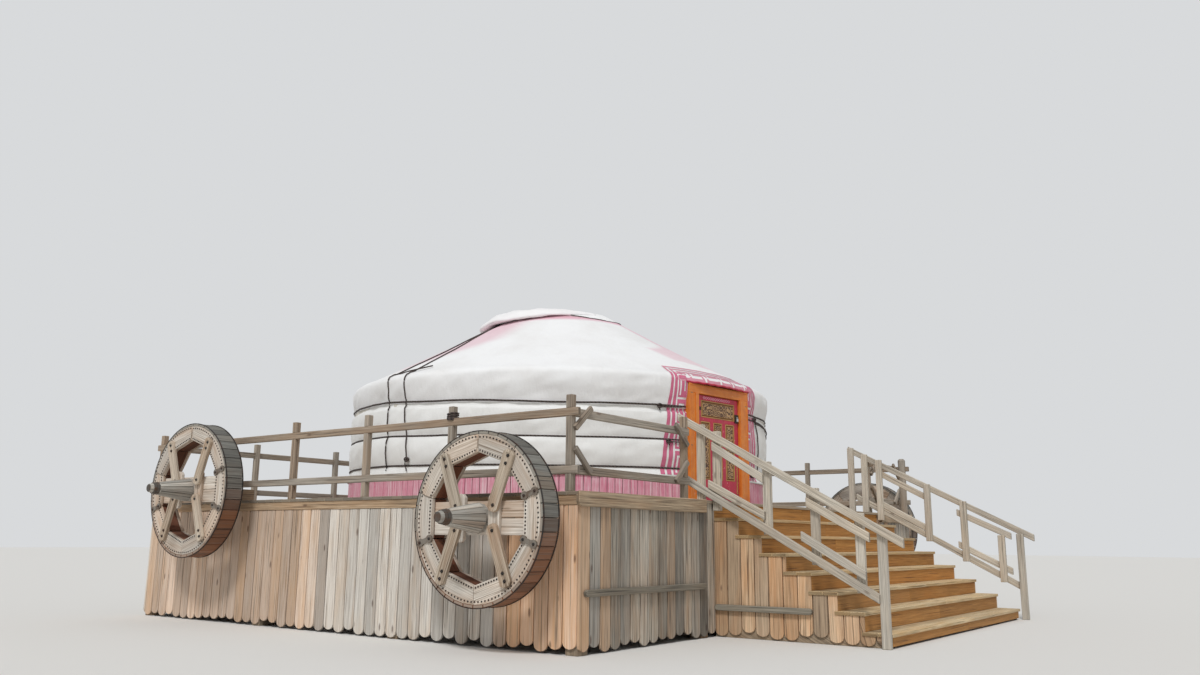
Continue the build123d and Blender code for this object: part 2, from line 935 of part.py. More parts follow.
def leaf_box():
    w = frame_width / 2 - jamb
    y0 = frame_y0 + leaf_setback
    z0 = threshold_h + leaf_gap
    z1 = frame_height - lintel - leaf_gap
    return (-w + leaf_gap, w - leaf_gap, y0, y0 + leaf_t, z0, z1)


def door_leaf():
    """A framed leaf with one wide panel above three tall ones, sunk in its outer face."""
    x0, x1, y0, y1, z0, z1 = leaf_box()
    leaf = block(x0, x1, y0, y1, z0, z1)
    panels = [top_panel] + [span + low_panel_span for span in low_panels]
    width = x1 - x0
    height = z1 - z0
    for a, b, low, high in panels:
        leaf -= block(x0 + a * width, x0 + b * width, y0 - 1, y0 + panel_depth,
                      z0 + low * height, z0 + high * height)
    return leaf


def door_hasp():
    x0, x1, y0, y1, z0, z1 = leaf_box()
    x = x1 - hasp_from_edge
    return block(x - hasp_width, x, y0 - hasp_t, y0, hasp_up - hasp_height / 2, hasp_up + hasp_height / 2)


def hinge_axis():
    x0, x1, y0, y1, z0, z1 = leaf_box()
    return (x0 + eye_radius, y0 - eye_radius)


def hinge_heights():
    x0, x1, y0, y1, z0, z1 = leaf_box()
    return (z0 + hinge_from_end, z1 - hinge_from_end - eye_height)


def door_pintles():
    """Iron pins on arms let into the left jamb."""
    x, y = hinge_axis()
    pieces = []
    for z in hinge_heights():
        arm = block(-frame_width / 2 + jamb, x + pin_radius, y - pin_radius, y + pin_radius,
                    z - arm_height, z)
        pin = Pos(x, y, z + pin_length / 2) * Cylinder(pin_radius, pin_length)
        pieces.append(arm + pin)
    return pieces


def door_straps():
    """Straps on the leaf whose eyes drop over the pins."""
    x, y = hinge_axis()
    front = y + eye_radius
    pieces = []
    for z in hinge_heights():
        z0 = z + eye_gap
        eye = Pos(x, y, z0 + eye_height / 2) * Cylinder(eye_radius, eye_height)
        strap = block(x, x + strap_length, front - strap_t, front, z0, z0 + eye_height)
        bore = Pos(x, y, z0 + eye_height / 2) * Cylinder(pin_radius + pin_clearance, eye_height + 2)
        pieces.append(eye + strap - bore)
    return pieces


def build():
    save(deck(), "deck")
    save(deck_frame(), "deck_frame")
    save(legs(), "legs")
    save(skirt_side(-1), "skirt_left")
    save(skirt_side(1), "skirt_right")
    save(skirt_back(), "skirt_back")
    save(skirt_front(), "skirt_front")
    save(front_fascias(), "front_fascias")
    save(battens(), "battens")
    save(treads(), "stair_treads")
    save(risers(), "stair_risers")
    save(carriages(), "stair_carriages")
    save(stair_sides(), "stair_sides")
    save(railing_posts(), "railing_posts")
    save(railing_rails(), "railing_rails")
    save(rail_braces(), "rail_braces")
    save(stair_posts(), "stair_posts")
    save(stair_rails(), "stair_rails")
    save(wheel_felloes(), "wheel_felloes")
    save(wheel_linings(), "wheel_linings")
    save(wheel_treads(), "wheel_treads")
    save(wheel_spokes(), "wheel_spokes")
    save(wheel_hub_planks(), "wheel_hub_planks")
    save(wheel_bars(), "wheel_bars")
    save(wheel_hubs(), "wheel_hubs")
    save(hub_rings(), "hub_rings")
    save(wheel_links(), "wheel_links")
    save(axles(), "axles")
    wall_covers()
    roof_covers()
    save(in_yurt(crown_cover()), "crown_cover")
    save(in_yurt(crown_ring()), "crown_ring")
    save([in_yurt(p) for p in crown_posts()], "crown_posts")
    save(roof_poles(), "roof_poles")
    save(base_boards(), "base_boards")
    save(girth_ropes(), "girth_ropes")
    save([in_yurt(p) for p in door_jambs()], "door_jambs")
    save(in_yurt(door_lintel()), "door_lintel")
    save([in_yurt(p) for p in door_pintles()], "door_pintles")
    save([in_yurt(p) for p in door_straps()], "door_straps")
    save(in_yurt(threshold()), "threshold")
    save(in_yurt(door_leaf()), "door_leaf")
    save(in_yurt(door_hasp()), "door_hasp")


build()
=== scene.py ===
import math
import random

import bmesh
import bpy
import numpy as np
from mathutils import Matrix, Vector, noise


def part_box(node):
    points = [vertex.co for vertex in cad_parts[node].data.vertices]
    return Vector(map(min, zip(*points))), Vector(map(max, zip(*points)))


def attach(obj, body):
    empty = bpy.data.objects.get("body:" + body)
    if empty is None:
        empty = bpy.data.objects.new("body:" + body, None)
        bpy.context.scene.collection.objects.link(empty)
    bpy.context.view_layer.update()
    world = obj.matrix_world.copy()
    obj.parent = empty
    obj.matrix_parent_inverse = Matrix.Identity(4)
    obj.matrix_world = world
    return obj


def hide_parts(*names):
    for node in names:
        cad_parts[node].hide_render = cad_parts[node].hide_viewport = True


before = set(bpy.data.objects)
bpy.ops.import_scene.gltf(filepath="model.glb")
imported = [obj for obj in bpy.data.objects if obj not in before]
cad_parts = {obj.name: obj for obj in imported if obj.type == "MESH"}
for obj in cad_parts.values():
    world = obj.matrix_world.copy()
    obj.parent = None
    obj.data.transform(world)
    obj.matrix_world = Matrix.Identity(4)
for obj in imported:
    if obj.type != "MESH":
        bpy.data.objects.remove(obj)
noise.seed_set(1)      # else noise_vector differs from run to run
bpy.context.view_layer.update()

# Places read from the frame, in metres
deckLow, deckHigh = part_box("deck")
crownLow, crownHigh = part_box("crown_cover")
deckTop = deckHigh.z
frontY = deckLow.y
leftX = deckLow.x
tentX = (crownLow.x + crownHigh.x) / 2
tentY = (crownLow.y + crownHigh.y) / 2
doorTurn = math.radians(-8.5)
toWorld = Matrix.Translation((tentX, tentY, deckTop)) @ Matrix.Rotation(doorTurn, 4, "Z")


# Colours and nodes

def toLinear(hexColour):
    channels = []
    for i in (1, 3, 5):
        c = int(hexColour[i:i + 2], 16) / 255
        channels.append(c / 12.92 if c <= 0.04045 else ((c + 0.055) / 1.055) ** 2.4)
    return (*channels, 1.0)


def addNode(tree, kind, inputs, output=0, **settings):
    # An input takes a number, a colour as hex or another node's output
    node = tree.nodes.new("ShaderNode" + kind)
    for key, value in settings.items():
        setattr(node, key, value)
    for key, value in inputs.items():
        if isinstance(value, bpy.types.NodeSocket):
            tree.links.new(value, node.inputs[key])
        else:
            node.inputs[key].default_value = toLinear(value) if isinstance(value, str) else value
    return node.outputs[output]


def newMaterial(name):
    material = bpy.data.materials.new(name)
    material.use_nodes = True
    return material, material.node_tree


def finish(tree, colour, layers, rough, height, strength, depth):
    # Each layer hides a share of the colour below it; then roughness and relief
    shader = tree.nodes["Principled BSDF"]
    for share, over, *blend in layers:
        colour = addNode(tree, "Mix", {0: share, 6: colour, 7: over}, 2, data_type="RGBA",
                         blend_type=blend[0] if blend else "MIX")
    bump = addNode(tree, "Bump", {"Strength": strength, "Distance": depth, "Height": height})
    for key, value in (("Base Color", colour), ("Roughness", rough), ("Normal", bump)):
        if isinstance(value, float):
            shader.inputs[key].default_value = value
        else:
            tree.links.new(value, shader.inputs[key])
    return shader


# Timber: sawn softwood, weathered or painted. Grain runs along the first direction of the UV map,
# which is in metres, and each plank has its own tone

timberLooks = {
    "railTimber": dict(
        light="#c6baa9", mid="#9a8f83", dark="#4f463e", warm="#a37c55", grey="#96928b",
        warmth=0.4, spread=0.5, odd=0.35, calm=0.2, stain=0.3, knots=0.5),
    "battenTimber": dict(
        light="#a8a090", mid="#827b6d", dark="#3d3932", warm="#8c745a", grey="#7e7c74",
        warmth=0.3, spread=0.5, odd=0.3, calm=0.25, stain=0.3),
    "paleTimber": dict(
        light="#e9e0d0", mid="#cdc3b2", dark="#6f675c", warm="#cfb391", grey="#b3afa8",
        warmth=0.3, spread=0.35, odd=0.2, calm=0.15, stain=0.35, knots=0.5),
    "deckTimber": dict(
        light="#b9ac98", mid="#94897a", dark="#5f574d", warm="#a88d6c", grey="#8e8a83",
        warmth=0.4, spread=0.6, odd=0.3),
    "tanBoards": dict(
        light="#faf5ec", mid="#e9e0d3", dark="#6a5a4b", warm="#d3b492", grey="#c9c6bf", shifted="#dba470",
        warmth=0.5, spread=0.9, odd=0.5, calm=0.25, stain=0.25, knots=0.7),
    "sideBoards": dict(
        light="#edcfab", mid="#cfab86", dark="#5c4736", warm="#c98f5c", grey="#b3a898",
        warmth=0.5, spread=0.95, odd=0.4, calm=0.25, stain=0.35, knots=0.7),
    "greyBoards": dict(
        light="#cfc5b5", mid="#9c9284", dark="#2f2c2a", warm="#b18a65", grey="#8b8a86",
        warmth=0.45, spread=1.7, odd=0.6, calm=0.12, stain=0.55, knots=0.7),
    "fasciaPlanks": dict(
        light="#e2caaa", mid="#b59b7d", dark="#4b3a29", warm="#a87b50", grey="#9d968b",
        warmth=0.45, spread=0.4, odd=0.3, calm=0.08, stain=0.6, knots=0.6),
    "roughTimber": dict(
        light="#b8a58c", mid="#8c7a64", dark="#453a31", warm="#8d6a48", grey="#8a8278",
        warmth=0.4, spread=0.5, odd=0.3, calm=0.25, stain=0.3),
    "riserBoards": dict(
        light="#cf9852", mid="#b67f3e", dark="#6b4520", warm="#bf7f38", grey="#a5835a",
        warmth=0.5, spread=0.4, odd=0.3, calm=0.3),
    "treadBoards": dict(
        light="#eedab4", mid="#d0b586", dark="#64492c", warm="#c39554", grey="#b3a68f",
        warmth=0.5, spread=0.45, odd=0.35, calm=0.3, stain=0.25),
    "wheelPlanks": dict(
        light="#f7f0e5", mid="#e0d4c3", dark="#7c6752", warm="#c0946b", grey="#d3cdc4",
        warmth=0.45, spread=0.55, odd=0.35, calm=0.15, stain=0.2, knots=0.2),
    "spokeTimber": dict(
        light="#e9dcc8", mid="#c9b69d", dark="#6a5542", warm="#a9794f", grey="#b5aea4",
        warmth=0.45, spread=0.5, odd=0.35, calm=0.2, stain=0.35),
    "treadStaves": dict(
        light="#8d8c85", mid="#6b6a65", dark="#33312e", warm="#7b6650", grey="#77736b", shifted="#84512f",
        cutColour="#b3ab9e",
        warmth=0.3, spread=0.8, odd=0.4),
    "liningBoards": dict(
        light="#8a5a40", mid="#6a3f2b", dark="#3a2318", warm="#7a4229", grey="#5c4437",
        warmth=0.5, spread=0.6, odd=0.3),
    "hubStaves": dict(
        light="#dedad0", mid="#bcb8ae", dark="#4c463e", warm="#a07c5f", grey="#a3a19b",
        warmth=0.45, spread=0.9, odd=0.4),
}


# Noise along and across the grain in waves to the metre, with its detail and roughness. Real grain lines lie
# 2 to 4 mm apart: the broad ones are drawn at 9 mm, as coarse as they need to show, with finer ones between
grainPatterns = dict(lines=((1.6, 110, 1), 4.0, 0.6), fine=((5.0, 420, 1), 2.0, 0.5),
                     patches=((1.3, 6.0, 1), 3.0, 0.6), cracks=((0.9, 55, 1), 3.0, 0.55),
                     stain=((0.9, 15, 1), 3.0, 0.6))
knotLook = dict(spread=(2.4, 7.0, 1.0), core=0.06, edge=0.12, colour="#54382a")


def timber(name):
    look = timberLooks[name]
    material, tree = newMaterial(name)
    uv = addNode(tree, "UVMap", {}, uv_map="grain")
    tone, cut = [addNode(tree, "Attribute", {}, "Fac", attribute_name=key) for key in ("tone", "cut")]
    drawn = {}
    for key, (stretch, detail, rough) in grainPatterns.items():
        if key == "stain" and key not in look:
            continue
        mapped = addNode(tree, "Mapping", {"Vector": uv, "Scale": stretch})
        drawn[key] = addNode(tree, "TexNoise", {"Vector": mapped, "Scale": 1.0, "Detail": detail,
                                                "Roughness": rough}, "Fac")
    fine = addNode(tree, "Math", {0: drawn["fine"], 1: 0.3}, operation="MULTIPLY")
    grain = addNode(tree, "Math", {0: drawn["lines"], 1: 0.7, 2: fine}, operation="MULTIPLY_ADD")
    cracks = addNode(tree, "MapRange", {0: drawn["cracks"], 1: 0.60, 2: 0.66})
    warmth = addNode(tree, "MapRange", {0: drawn["patches"], 1: 0.45, 2: 0.7, 4: look["warmth"]})
    # Some planks are greyer and some redder than the rest
    pick = addNode(tree, "Math", {0: tone, 1: 7.31}, operation="MULTIPLY")
    pick = addNode(tree, "Math", {0: pick}, operation="FRACT")
    layers = [(addNode(tree, "MapRange", {0: grain, 1: 0.34, 2: 0.62}), look["light"]),
              (look.get("calm", 0.4), look["mid"]), (warmth, look["warm"]),
              (addNode(tree, "MapRange", {0: pick, 1: 0.4, 2: 0.0, 4: look["odd"]}), look["grey"]),
              (addNode(tree, "MapRange", {0: pick, 1: 0.7, 4: look["odd"]}), look["warm"])]
    if "shifted" in look:
        shift = addNode(tree, "Attribute", {}, "Fac", attribute_name="shift")
        held = addNode(tree, "MapRange", {0: grain, 1: 0.3, 2: 0.7, 3: 0.95, 4: 0.6})
        layers.append((addNode(tree, "Math", {0: shift, 1: held}, operation="MULTIPLY"), look["shifted"]))
    if "knots" in look:
        spots = addNode(tree, "Mapping", {"Vector": uv, "Scale": knotLook["spread"]})
        cells = addNode(tree, "TexVoronoi", {"Vector": spots, "Scale": 1.0}, "Distance")
        knots = addNode(tree, "MapRange", {0: cells, 1: knotLook["core"], 2: knotLook["edge"],
                                           3: look["knots"], 4: 0.0})
        layers.append((knots, knotLook["colour"]))
    if "stain" in look:
        layers.append((addNode(tree, "MapRange", {0: drawn["stain"], 1: 0.50, 2: 0.74, 4: look["stain"]}),
                       look["dark"]))
    layers.append((addNode(tree, "Math", {0: cracks, 1: 0.75}, operation="MULTIPLY"), look["dark"]))
    shade = addNode(tree, "MapRange", {0: tone, 3: 1.0 - 0.35 * look["spread"],
                                       4: 1.0 + 0.25 * look["spread"]})
    layers.append((1.0, addNode(tree, "CombineColor", {0: shade, 1: shade, 2: shade}), "MULTIPLY"))
    layers.append((addNode(tree, "Math", {0: cut, 1: 0.5}, operation="MULTIPLY"),
                   look.get("cutColour", look["dark"])))
    height = addNode(tree, "Math", {0: grain, 1: cracks}, operation="SUBTRACT")
    rough = addNode(tree, "MapRange", {0: grain, 1: 0.3, 2: 0.7, 3: 0.92, 4: 0.72})
    finish(tree, look["dark"], layers, rough, height, 0.35, 0.004)
    return material


# Paint on timber: the coat wears through to the wood along the grain

paintLooks = {
    "orangePaint": dict(coat="#e2821f", second="#cf6a1a", under="#d9a06a", wear=0.3, rough=0.45),
    "crimsonPaint": dict(coat="#c32142", second="#a81e3d", under="#d98b90", wear=0.1, rough=0.45, chips=0.6),
    "pinkPaint": dict(coat="#d6718e", second="#e195ab", under="#f5e8ea", wear=0.55, rough=0.7),
    "redPaint": dict(coat="#b4532a", second="#96401f", under="#8a5a35", wear=0.2, rough=0.55),
    "goldPaint": dict(coat="#c39a5a", second="#a87f42", under="#6b4a2a", wear=0.4, rough=0.5),
    "pinkOrnament": dict(coat="#f0b7cb", second="#df86a6", under="#b02a52", wear=0.35, rough=0.5),
}


def paint(name):
    look = paintLooks[name]
    material, tree = newMaterial(name)
    uv = addNode(tree, "UVMap", {}, uv_map="grain")
    tone = addNode(tree, "Attribute", {}, "Fac", attribute_name="tone")
    drawn = []
    for stretch, detail, rough in (((2.2, 60, 1), 4.0, 0.6), ((22, 60, 1), 2.0, 0.5)):
        mapped = addNode(tree, "Mapping", {"Vector": uv, "Scale": stretch})
        drawn.append(addNode(tree, "TexNoise", {"Vector": mapped, "Scale": 1.0, "Detail": detail,
                                                "Roughness": rough}, "Fac"))
    streaks, flakes = drawn
    blotches = addNode(tree, "TexNoise", {"Vector": uv, "Scale": 9.0, "Detail": 3.0, "Roughness": 0.6}, "Fac")
    worn = addNode(tree, "MapRange", {0: streaks, 1: 0.46, 2: 0.66})
    worn = addNode(tree, "Math", {0: tone, 1: 0.35, 2: worn}, operation="MULTIPLY_ADD")
    worn = addNode(tree, "Math", {0: worn, 1: look["wear"]}, operation="MULTIPLY")
    chips = addNode(tree, "MapRange", {0: flakes, 1: 0.69, 2: 0.72, 4: look.get("chips", 0.35)})
    second = addNode(tree, "MapRange", {0: blotches, 1: 0.35, 2: 0.7})
    layers = ((second, look["second"]), (worn, look["under"]), (chips, "#ead9cf"))
    finish(tree, look["coat"], layers, look["rough"], streaks, 0.2, 0.003)
    return material


# Carved and gilded panels: rounded relief worn to the dark wood between

def carved(name):
    material, tree = newMaterial(name)
    place = addNode(tree, "TexCoord", {}, "Object")
    cells = addNode(tree, "TexVoronoi", {"Vector": place, "Scale": 15.0, "Randomness": 0.5}, "Distance")
    rings = addNode(tree, "Math", {0: cells, 1: 21.0}, operation="MULTIPLY")
    rings = addNode(tree, "Math", {0: rings}, operation="SINE")
    relief = addNode(tree, "MapRange", {0: rings, 1: -0.3, 2: 0.6})
    wear = addNode(tree, "TexNoise", {"Vector": place, "Scale": 60.0, "Detail": 3.0, "Roughness": 0.6}, "Fac")
    wear = addNode(tree, "MapRange", {0: wear, 1: 0.55, 2: 0.7, 4: 0.5})
    finish(tree, "#54382a", ((relief, "#bd986c"), (wear, "#8a6b52")), 0.55, relief, 0.6, 0.004)
    return material


# Cotton canvas over felt: matt, off-white, with creases and a thread pattern drawn coarse

def canvas(name, clothColour, shadeColour):
    material, tree = newMaterial(name)
    place = addNode(tree, "TexCoord", {}, "Object")
    tint = addNode(tree, "Attribute", {}, "Fac", attribute_name="tint")
    drawn = []
    for stretch, scale, detail, rough in (((1, 1, 0.8), 1.6, 4.0, 0.6), ((1, 1, 0.3), 5.5, 4.0, 0.6),
                                          ((1, 1, 1), 260.0, 1.0, 0.5)):
        mapped = addNode(tree, "Mapping", {"Vector": place, "Scale": stretch})
        drawn.append(addNode(tree, "TexNoise", {"Vector": mapped, "Scale": scale, "Detail": detail,
                                                "Roughness": rough}, "Fac"))
    stains, creases, weave = drawn
    stains = addNode(tree, "MapRange", {0: stains, 1: 0.4, 2: 0.75, 4: 0.7})
    weave = addNode(tree, "Math", {0: weave, 1: 0.08}, operation="MULTIPLY")
    height = addNode(tree, "Math", {0: creases, 1: 0.8, 2: weave}, operation="MULTIPLY_ADD")
    layers = ((stains, shadeColour), (tint, "#dd8ea6"))
    shader = finish(tree, clothColour, layers, 0.9, height, 0.6, 0.035)
    shader.inputs["Sheen Weight"].default_value = 0.15
    return material


# Horsehair rope: laid in strands, dark and dull

def hairRope(name):
    material, tree = newMaterial(name)
    uv = addNode(tree, "UVMap", {}, uv_map="grain")
    mapped = addNode(tree, "Mapping", {"Vector": uv, "Scale": (14, 20, 1)})
    twist = addNode(tree, "TexWave", {"Vector": mapped, "Scale": 1.0, "Distortion": 1.0}, "Fac",
                    bands_direction="DIAGONAL")
    finish(tree, "#2f2826", [(twist, "#5d514c")], 0.9, twist, 0.6, 0.004)
    return material


# Forged iron: dark scale with rust in patches

def iron(name, metalColour="#3a3836", rustColour="#6b4330", rustShare=0.45):
    material, tree = newMaterial(name)
    place = addNode(tree, "TexCoord", {}, "Object")
    drawn = []
    for scale, detail, rough in ((14.0, 5.0, 0.65), (120.0, 3.0, 0.6)):
        drawn.append(addNode(tree, "TexNoise", {"Vector": place, "Scale": scale, "Detail": detail,
                                                "Roughness": rough}, "Fac"))
    patches, pits = drawn
    rust = addNode(tree, "MapRange", {0: patches, 1: 0.45, 2: 0.65, 4: rustShare})
    rough = addNode(tree, "MapRange", {0: rust, 2: 0.5, 3: 0.45, 4: 0.85})
    shader = finish(tree, metalColour, [(rust, rustColour)], rough, pits, 0.3, 0.002)
    shader.inputs["Metallic"].default_value = 0.7
    return material


materials = {name: timber(name) for name in timberLooks}
materials.update({name: paint(name) for name in paintLooks})
materials["wallCanvas"] = canvas("wallCanvas", "#f4f4f2", "#e4e2de")
materials["roofCanvas"] = canvas("roofCanvas", "#f3f3f3", "#e6e4e2")
materials["crownCanvas"] = canvas("crownCanvas", "#f8f8f8", "#e6e4e3")
materials["feltLayer"] = canvas("feltLayer", "#d8d3c8", "#bdb6a8")
materials["pinkCloth"] = canvas("pinkCloth", "#d4708f", "#c65f80")
materials["fadedPink"] = canvas("fadedPink", "#dd9aab", "#d08596")
materials["hairRope"] = hairRope("hairRope")
materials["forgedIron"] = iron("forgedIron")
materials["plateIron"] = iron("plateIron", "#8d857b", "#6d5646", 0.7)
materials["hubIron"] = iron("hubIron", "#5e5a55", "#7a5740", 0.6)
materials["brightIron"] = iron("brightIron", "#c9ccce", "#9a9690", 0.25)
materials["carvedGilt"] = carved("carvedGilt")
print("materials made")


# Turning meshes into pieces

def addPiece(bm, name, body, materialName, nodes=()):
    mesh = bpy.data.meshes.new(name)
    bm.to_mesh(mesh)
    bm.free()
    mesh.materials.append(materials[materialName])
    piece = bpy.data.objects.new(name, mesh)
    bpy.context.collection.objects.link(piece)
    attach(piece, body)
    if nodes:
        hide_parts(*nodes)
    return piece


def islandsOf(bm):
    bm.faces.ensure_lookup_table()
    seen = set()
    groups = []
    for face in bm.faces:
        if face.index in seen:
            continue
        group = []
        waiting = [face]
        seen.add(face.index)
        while waiting:
            current = waiting.pop()
            group.append(current)
            for edge in current.edges:
                for other in edge.link_faces:
                    if other.index not in seen:
                        seen.add(other.index)
                        waiting.append(other)
        groups.append(group)
    return groups


def giveGrain(bm, seed, lengthwise=None):
    # The grain of each separate solid runs along its longest direction
    luck = random.Random(seed)
    bm.faces.index_update()
    uvLayer = bm.loops.layers.uv.new("grain")
    toneLayer = bm.faces.layers.float.new("tone")
    cutLayer = bm.faces.layers.float.new("cut")
    for group in islandsOf(bm):
        points = np.array([list(v.co) for v in dict.fromkeys(v for f in group for v in f.verts)])
        centre = points.mean(axis=0)
        # Rounded, since the noise of the last digits would turn the grain of some boards from run to run
        vectors = np.linalg.eigh(np.cov((points - centre).T).round(9) + 0.0)[1]
        along = Vector(vectors[:, 2]) if lengthwise is None else Vector(lengthwise)
        across = Vector(vectors[:, 1])
        across = (across - along * across.dot(along)).normalized()
        deep = along.cross(across)
        shiftU = luck.uniform(0, 40)
        shiftV = luck.uniform(0, 40)
        tone = luck.random()
        middle = Vector(centre)
        for face in group:
            normal = face.normal
            facing = [abs(normal.dot(d)) for d in (along, across, deep)]
            face[toneLayer] = tone
            face[cutLayer] = 1.0 if facing[0] > 0.75 else 0.0
            if facing[0] > 0.75:
                first, second = across, deep
            elif facing[2] >= facing[1]:
                first, second = along, across
            else:
                first, second = along, deep
            for loop in face.loops:
                offset = loop.vert.co - middle
                loop[uvLayer].uv = (offset.dot(first) + shiftU, offset.dot(second) + shiftV)


def softenEdges(bm, width, segments=1, sharpness=30):
    edges = [e for e in bm.edges if len(e.link_faces) == 2 and e.calc_face_angle(0) > math.radians(sharpness)]
    bmesh.ops.bevel(bm, geom=edges, offset=width, offset_type="OFFSET", affect="EDGES", segments=segments,
                    profile=0.5, material=-1, clamp_overlap=True)


def splitLong(bm, longest):
    for turn in range(3):
        edges = [e for e in bm.edges if e.calc_length() > longest]
        if not edges:
            return
        bmesh.ops.subdivide_edges(bm, edges=edges, cuts=1, use_grid_fill=True)


def roughen(bm, amount, size, seed):
    # Small unevenness, as sawn timber has
    for vert in bm.verts:
        shift = noise.noise_vector(vert.co / size + Vector((seed * 7.3, 0, 0)))
        vert.co += shift * amount


def copyOfNode(*nodes):
    bm = bmesh.new()
    for node in nodes:
        bm.from_mesh(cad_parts[node].data)
    bmesh.ops.remove_doubles(bm, verts=bm.verts, dist=0.00005)
    bmesh.ops.dissolve_limit(bm, angle_limit=math.radians(1), verts=bm.verts, edges=bm.edges)
    return bm


def addCube(bm, low, high, turn=Matrix()):
    # A box between two corners, turned and moved as a whole
    low, high = Vector(low), Vector(high)
    made = bmesh.ops.create_cube(bm, size=1.0)
    place = Matrix.Translation((low + high) / 2) @ Matrix.Diagonal((*(high - low), 1))
    bmesh.ops.transform(bm, matrix=turn @ place, verts=made["verts"])


def faceOut(bm):
    bmesh.ops.recalc_face_normals(bm, faces=bm.faces)


def dressTimber(name, node, slotName, materialName, edge=0.004, rough=0.0015, split=0.0, body="yurt"):
    bm = copyOfNode(node)
    if split:
        splitLong(bm, split)
    softenEdges(bm, edge)
    if rough:
        roughen(bm, rough, 0.35, len(name))
    giveGrain(bm, len(name) * 13)
    return addPiece(bm, name, body, materialName, [node])


# Name, node, slot and material, then how far the edges are rounded, how rough the faces are, how long a
# stretch stays straight, and the body
timberPieces = (
    ("deckFrame", "deck_frame", "wood_frame", "fasciaPlanks"),
    ("platformLegs", "legs", "wood_frame", "roughTimber"),
    ("deckFascias", "front_fascias", "wood_tan", "fasciaPlanks", 0.006, 0.003, 0.5),
    ("faceBattens", "battens", "wood_weathered", "battenTimber", 0.006, 0.003, 0.5),
    ("stairCarriages", "stair_carriages", "wood_frame", "roughTimber"),
    ("deckPosts", "railing_posts", "wood_weathered", "railTimber", 0.006, 0.002, 0.4),
    ("deckRails", "railing_rails", "wood_weathered", "railTimber", 0.006, 0.003, 0.5),
    ("cornerBraces", "rail_braces", "wood_weathered", "railTimber", 0.005, 0.002),
    ("stairPosts", "stair_posts", "wood_weathered", "paleTimber", 0.006, 0.002, 0.4),
    ("stairRails", "stair_rails", "wood_weathered", "paleTimber", 0.006, 0.003, 0.5),
    ("wheelFelloes", "wheel_felloes", "wood_wheel", "wheelPlanks", 0.004, 0.001),
    ("wheelLinings", "wheel_linings", "wood_lining", "liningBoards", 0.003, 0.001),
    ("wheelStaves", "wheel_treads", "wood_tread", "treadStaves", 0.004, 0.0015),
    ("hubCores", "wheel_hubs", "wood_frame", "hubStaves", 0.003, 0.001),
    ("hubPlanks", "wheel_hub_planks", "wood_wheel", "wheelPlanks", 0.005, 0.001),
    ("wheelBars", "wheel_bars", "wood_wheel", "wheelPlanks", 0.004, 0.001),
    ("axleBeams", "axles", "wood_frame", "roughTimber"),
    ("roofPoles", "roof_poles", "wood_roof", "redPaint", 0.006, 0.0),
    ("crownPosts", "crown_posts", "wood_roof", "redPaint", 0.008, 0.0),
    ("crownRing", "crown_ring", "wood_roof", "redPaint", 0.003, 0.0),
    ("doorJambs", "door_jambs", "paint_orange", "orangePaint"),
    ("doorLintel", "door_lintel", "paint_orange", "orangePaint"),
    ("doorSill", "threshold", "paint_crimson", "crimsonPaint"),
    ("leafBoards", "door_leaf", "paint_crimson", "crimsonPaint", 0.003, 0.0, 0.0, "door"),
)
for row in timberPieces:
    dressTimber(*row)
print("timber dressed")

ironNodes = dict(door_pintles="forgedIron", door_straps="forgedIron", hub_rings="hubIron",
                 wheel_links="plateIron", door_hasp="forgedIron")
for node, materialName in ironNodes.items():
    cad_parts[node].data.materials.clear()
    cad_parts[node].data.materials.append(materials[materialName])


def giveShift(piece, shiftAt):
    # How far each face's wood is stained away from the usual colour
    layer = piece.data.attributes.new("shift", "FLOAT", "FACE")
    for i, poly in enumerate(piece.data.polygons):
        layer.data[i].value = shiftAt(poly.center)


def smoothStep(a, b, x):
    t = min(1.0, max(0.0, (x - a) / (b - a)))
    return t * t * (3 - 2 * t)


# Wheels: spokes with sunk faces, staved hubs, bolts, iron bands and the planks that overlap the ring

wheel = dict(face=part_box("wheel_felloes")[1].x, depth=0.22, radius=0.77, rim=0.742, inner=0.5544, planks=10,
             linkRadius=0.655, linkAngles=(72, 108, 252), linkOut=0.014, spokeOut=0.04,
             spokeFoot=(0.29, 0.13), spokeReach=0.86, spokeAngle=math.radians(54))


def wheelPlaces():
    # Side and middle of each wheel's outer face, from the hubs of the frame
    places = []
    bm = copyOfNode("wheel_hubs")
    for group in islandsOf(bm):
        points = [v.co for f in group for v in f.verts]
        side = 1 if points[0].x > 0 else -1
        y = (min(p.y for p in points) + max(p.y for p in points)) / 2
        z = (min(p.z for p in points) + max(p.z for p in points)) / 2
        places.append((side, Vector((side * wheel["face"], y, z))))
    bm.free()
    return places


wheels = wheelPlaces()


def wheelSpot(angle, radius, out=0.0, across=0.0):
    # angle in degrees from the top; across is measured along the rim
    a = math.radians(angle)
    return Vector((out, -radius * math.sin(a) - across * math.cos(a),
                   radius * math.cos(a) - across * math.sin(a)))


def onWheels(bm, build):
    # build fills a mesh round the origin with x outwards
    for side, centre in wheels:
        part = bmesh.new()
        build(part)
        bmesh.ops.transform(part, matrix=Matrix.Translation(centre) @ Matrix.Diagonal((side, 1, 1, 1)),
                            verts=part.verts)
        if side < 0:
            bmesh.ops.reverse_faces(part, faces=part.faces)
        mesh = bpy.data.meshes.new("part")
        part.to_mesh(mesh)
        part.free()
        bm.from_mesh(mesh)
        bpy.data.meshes.remove(mesh)


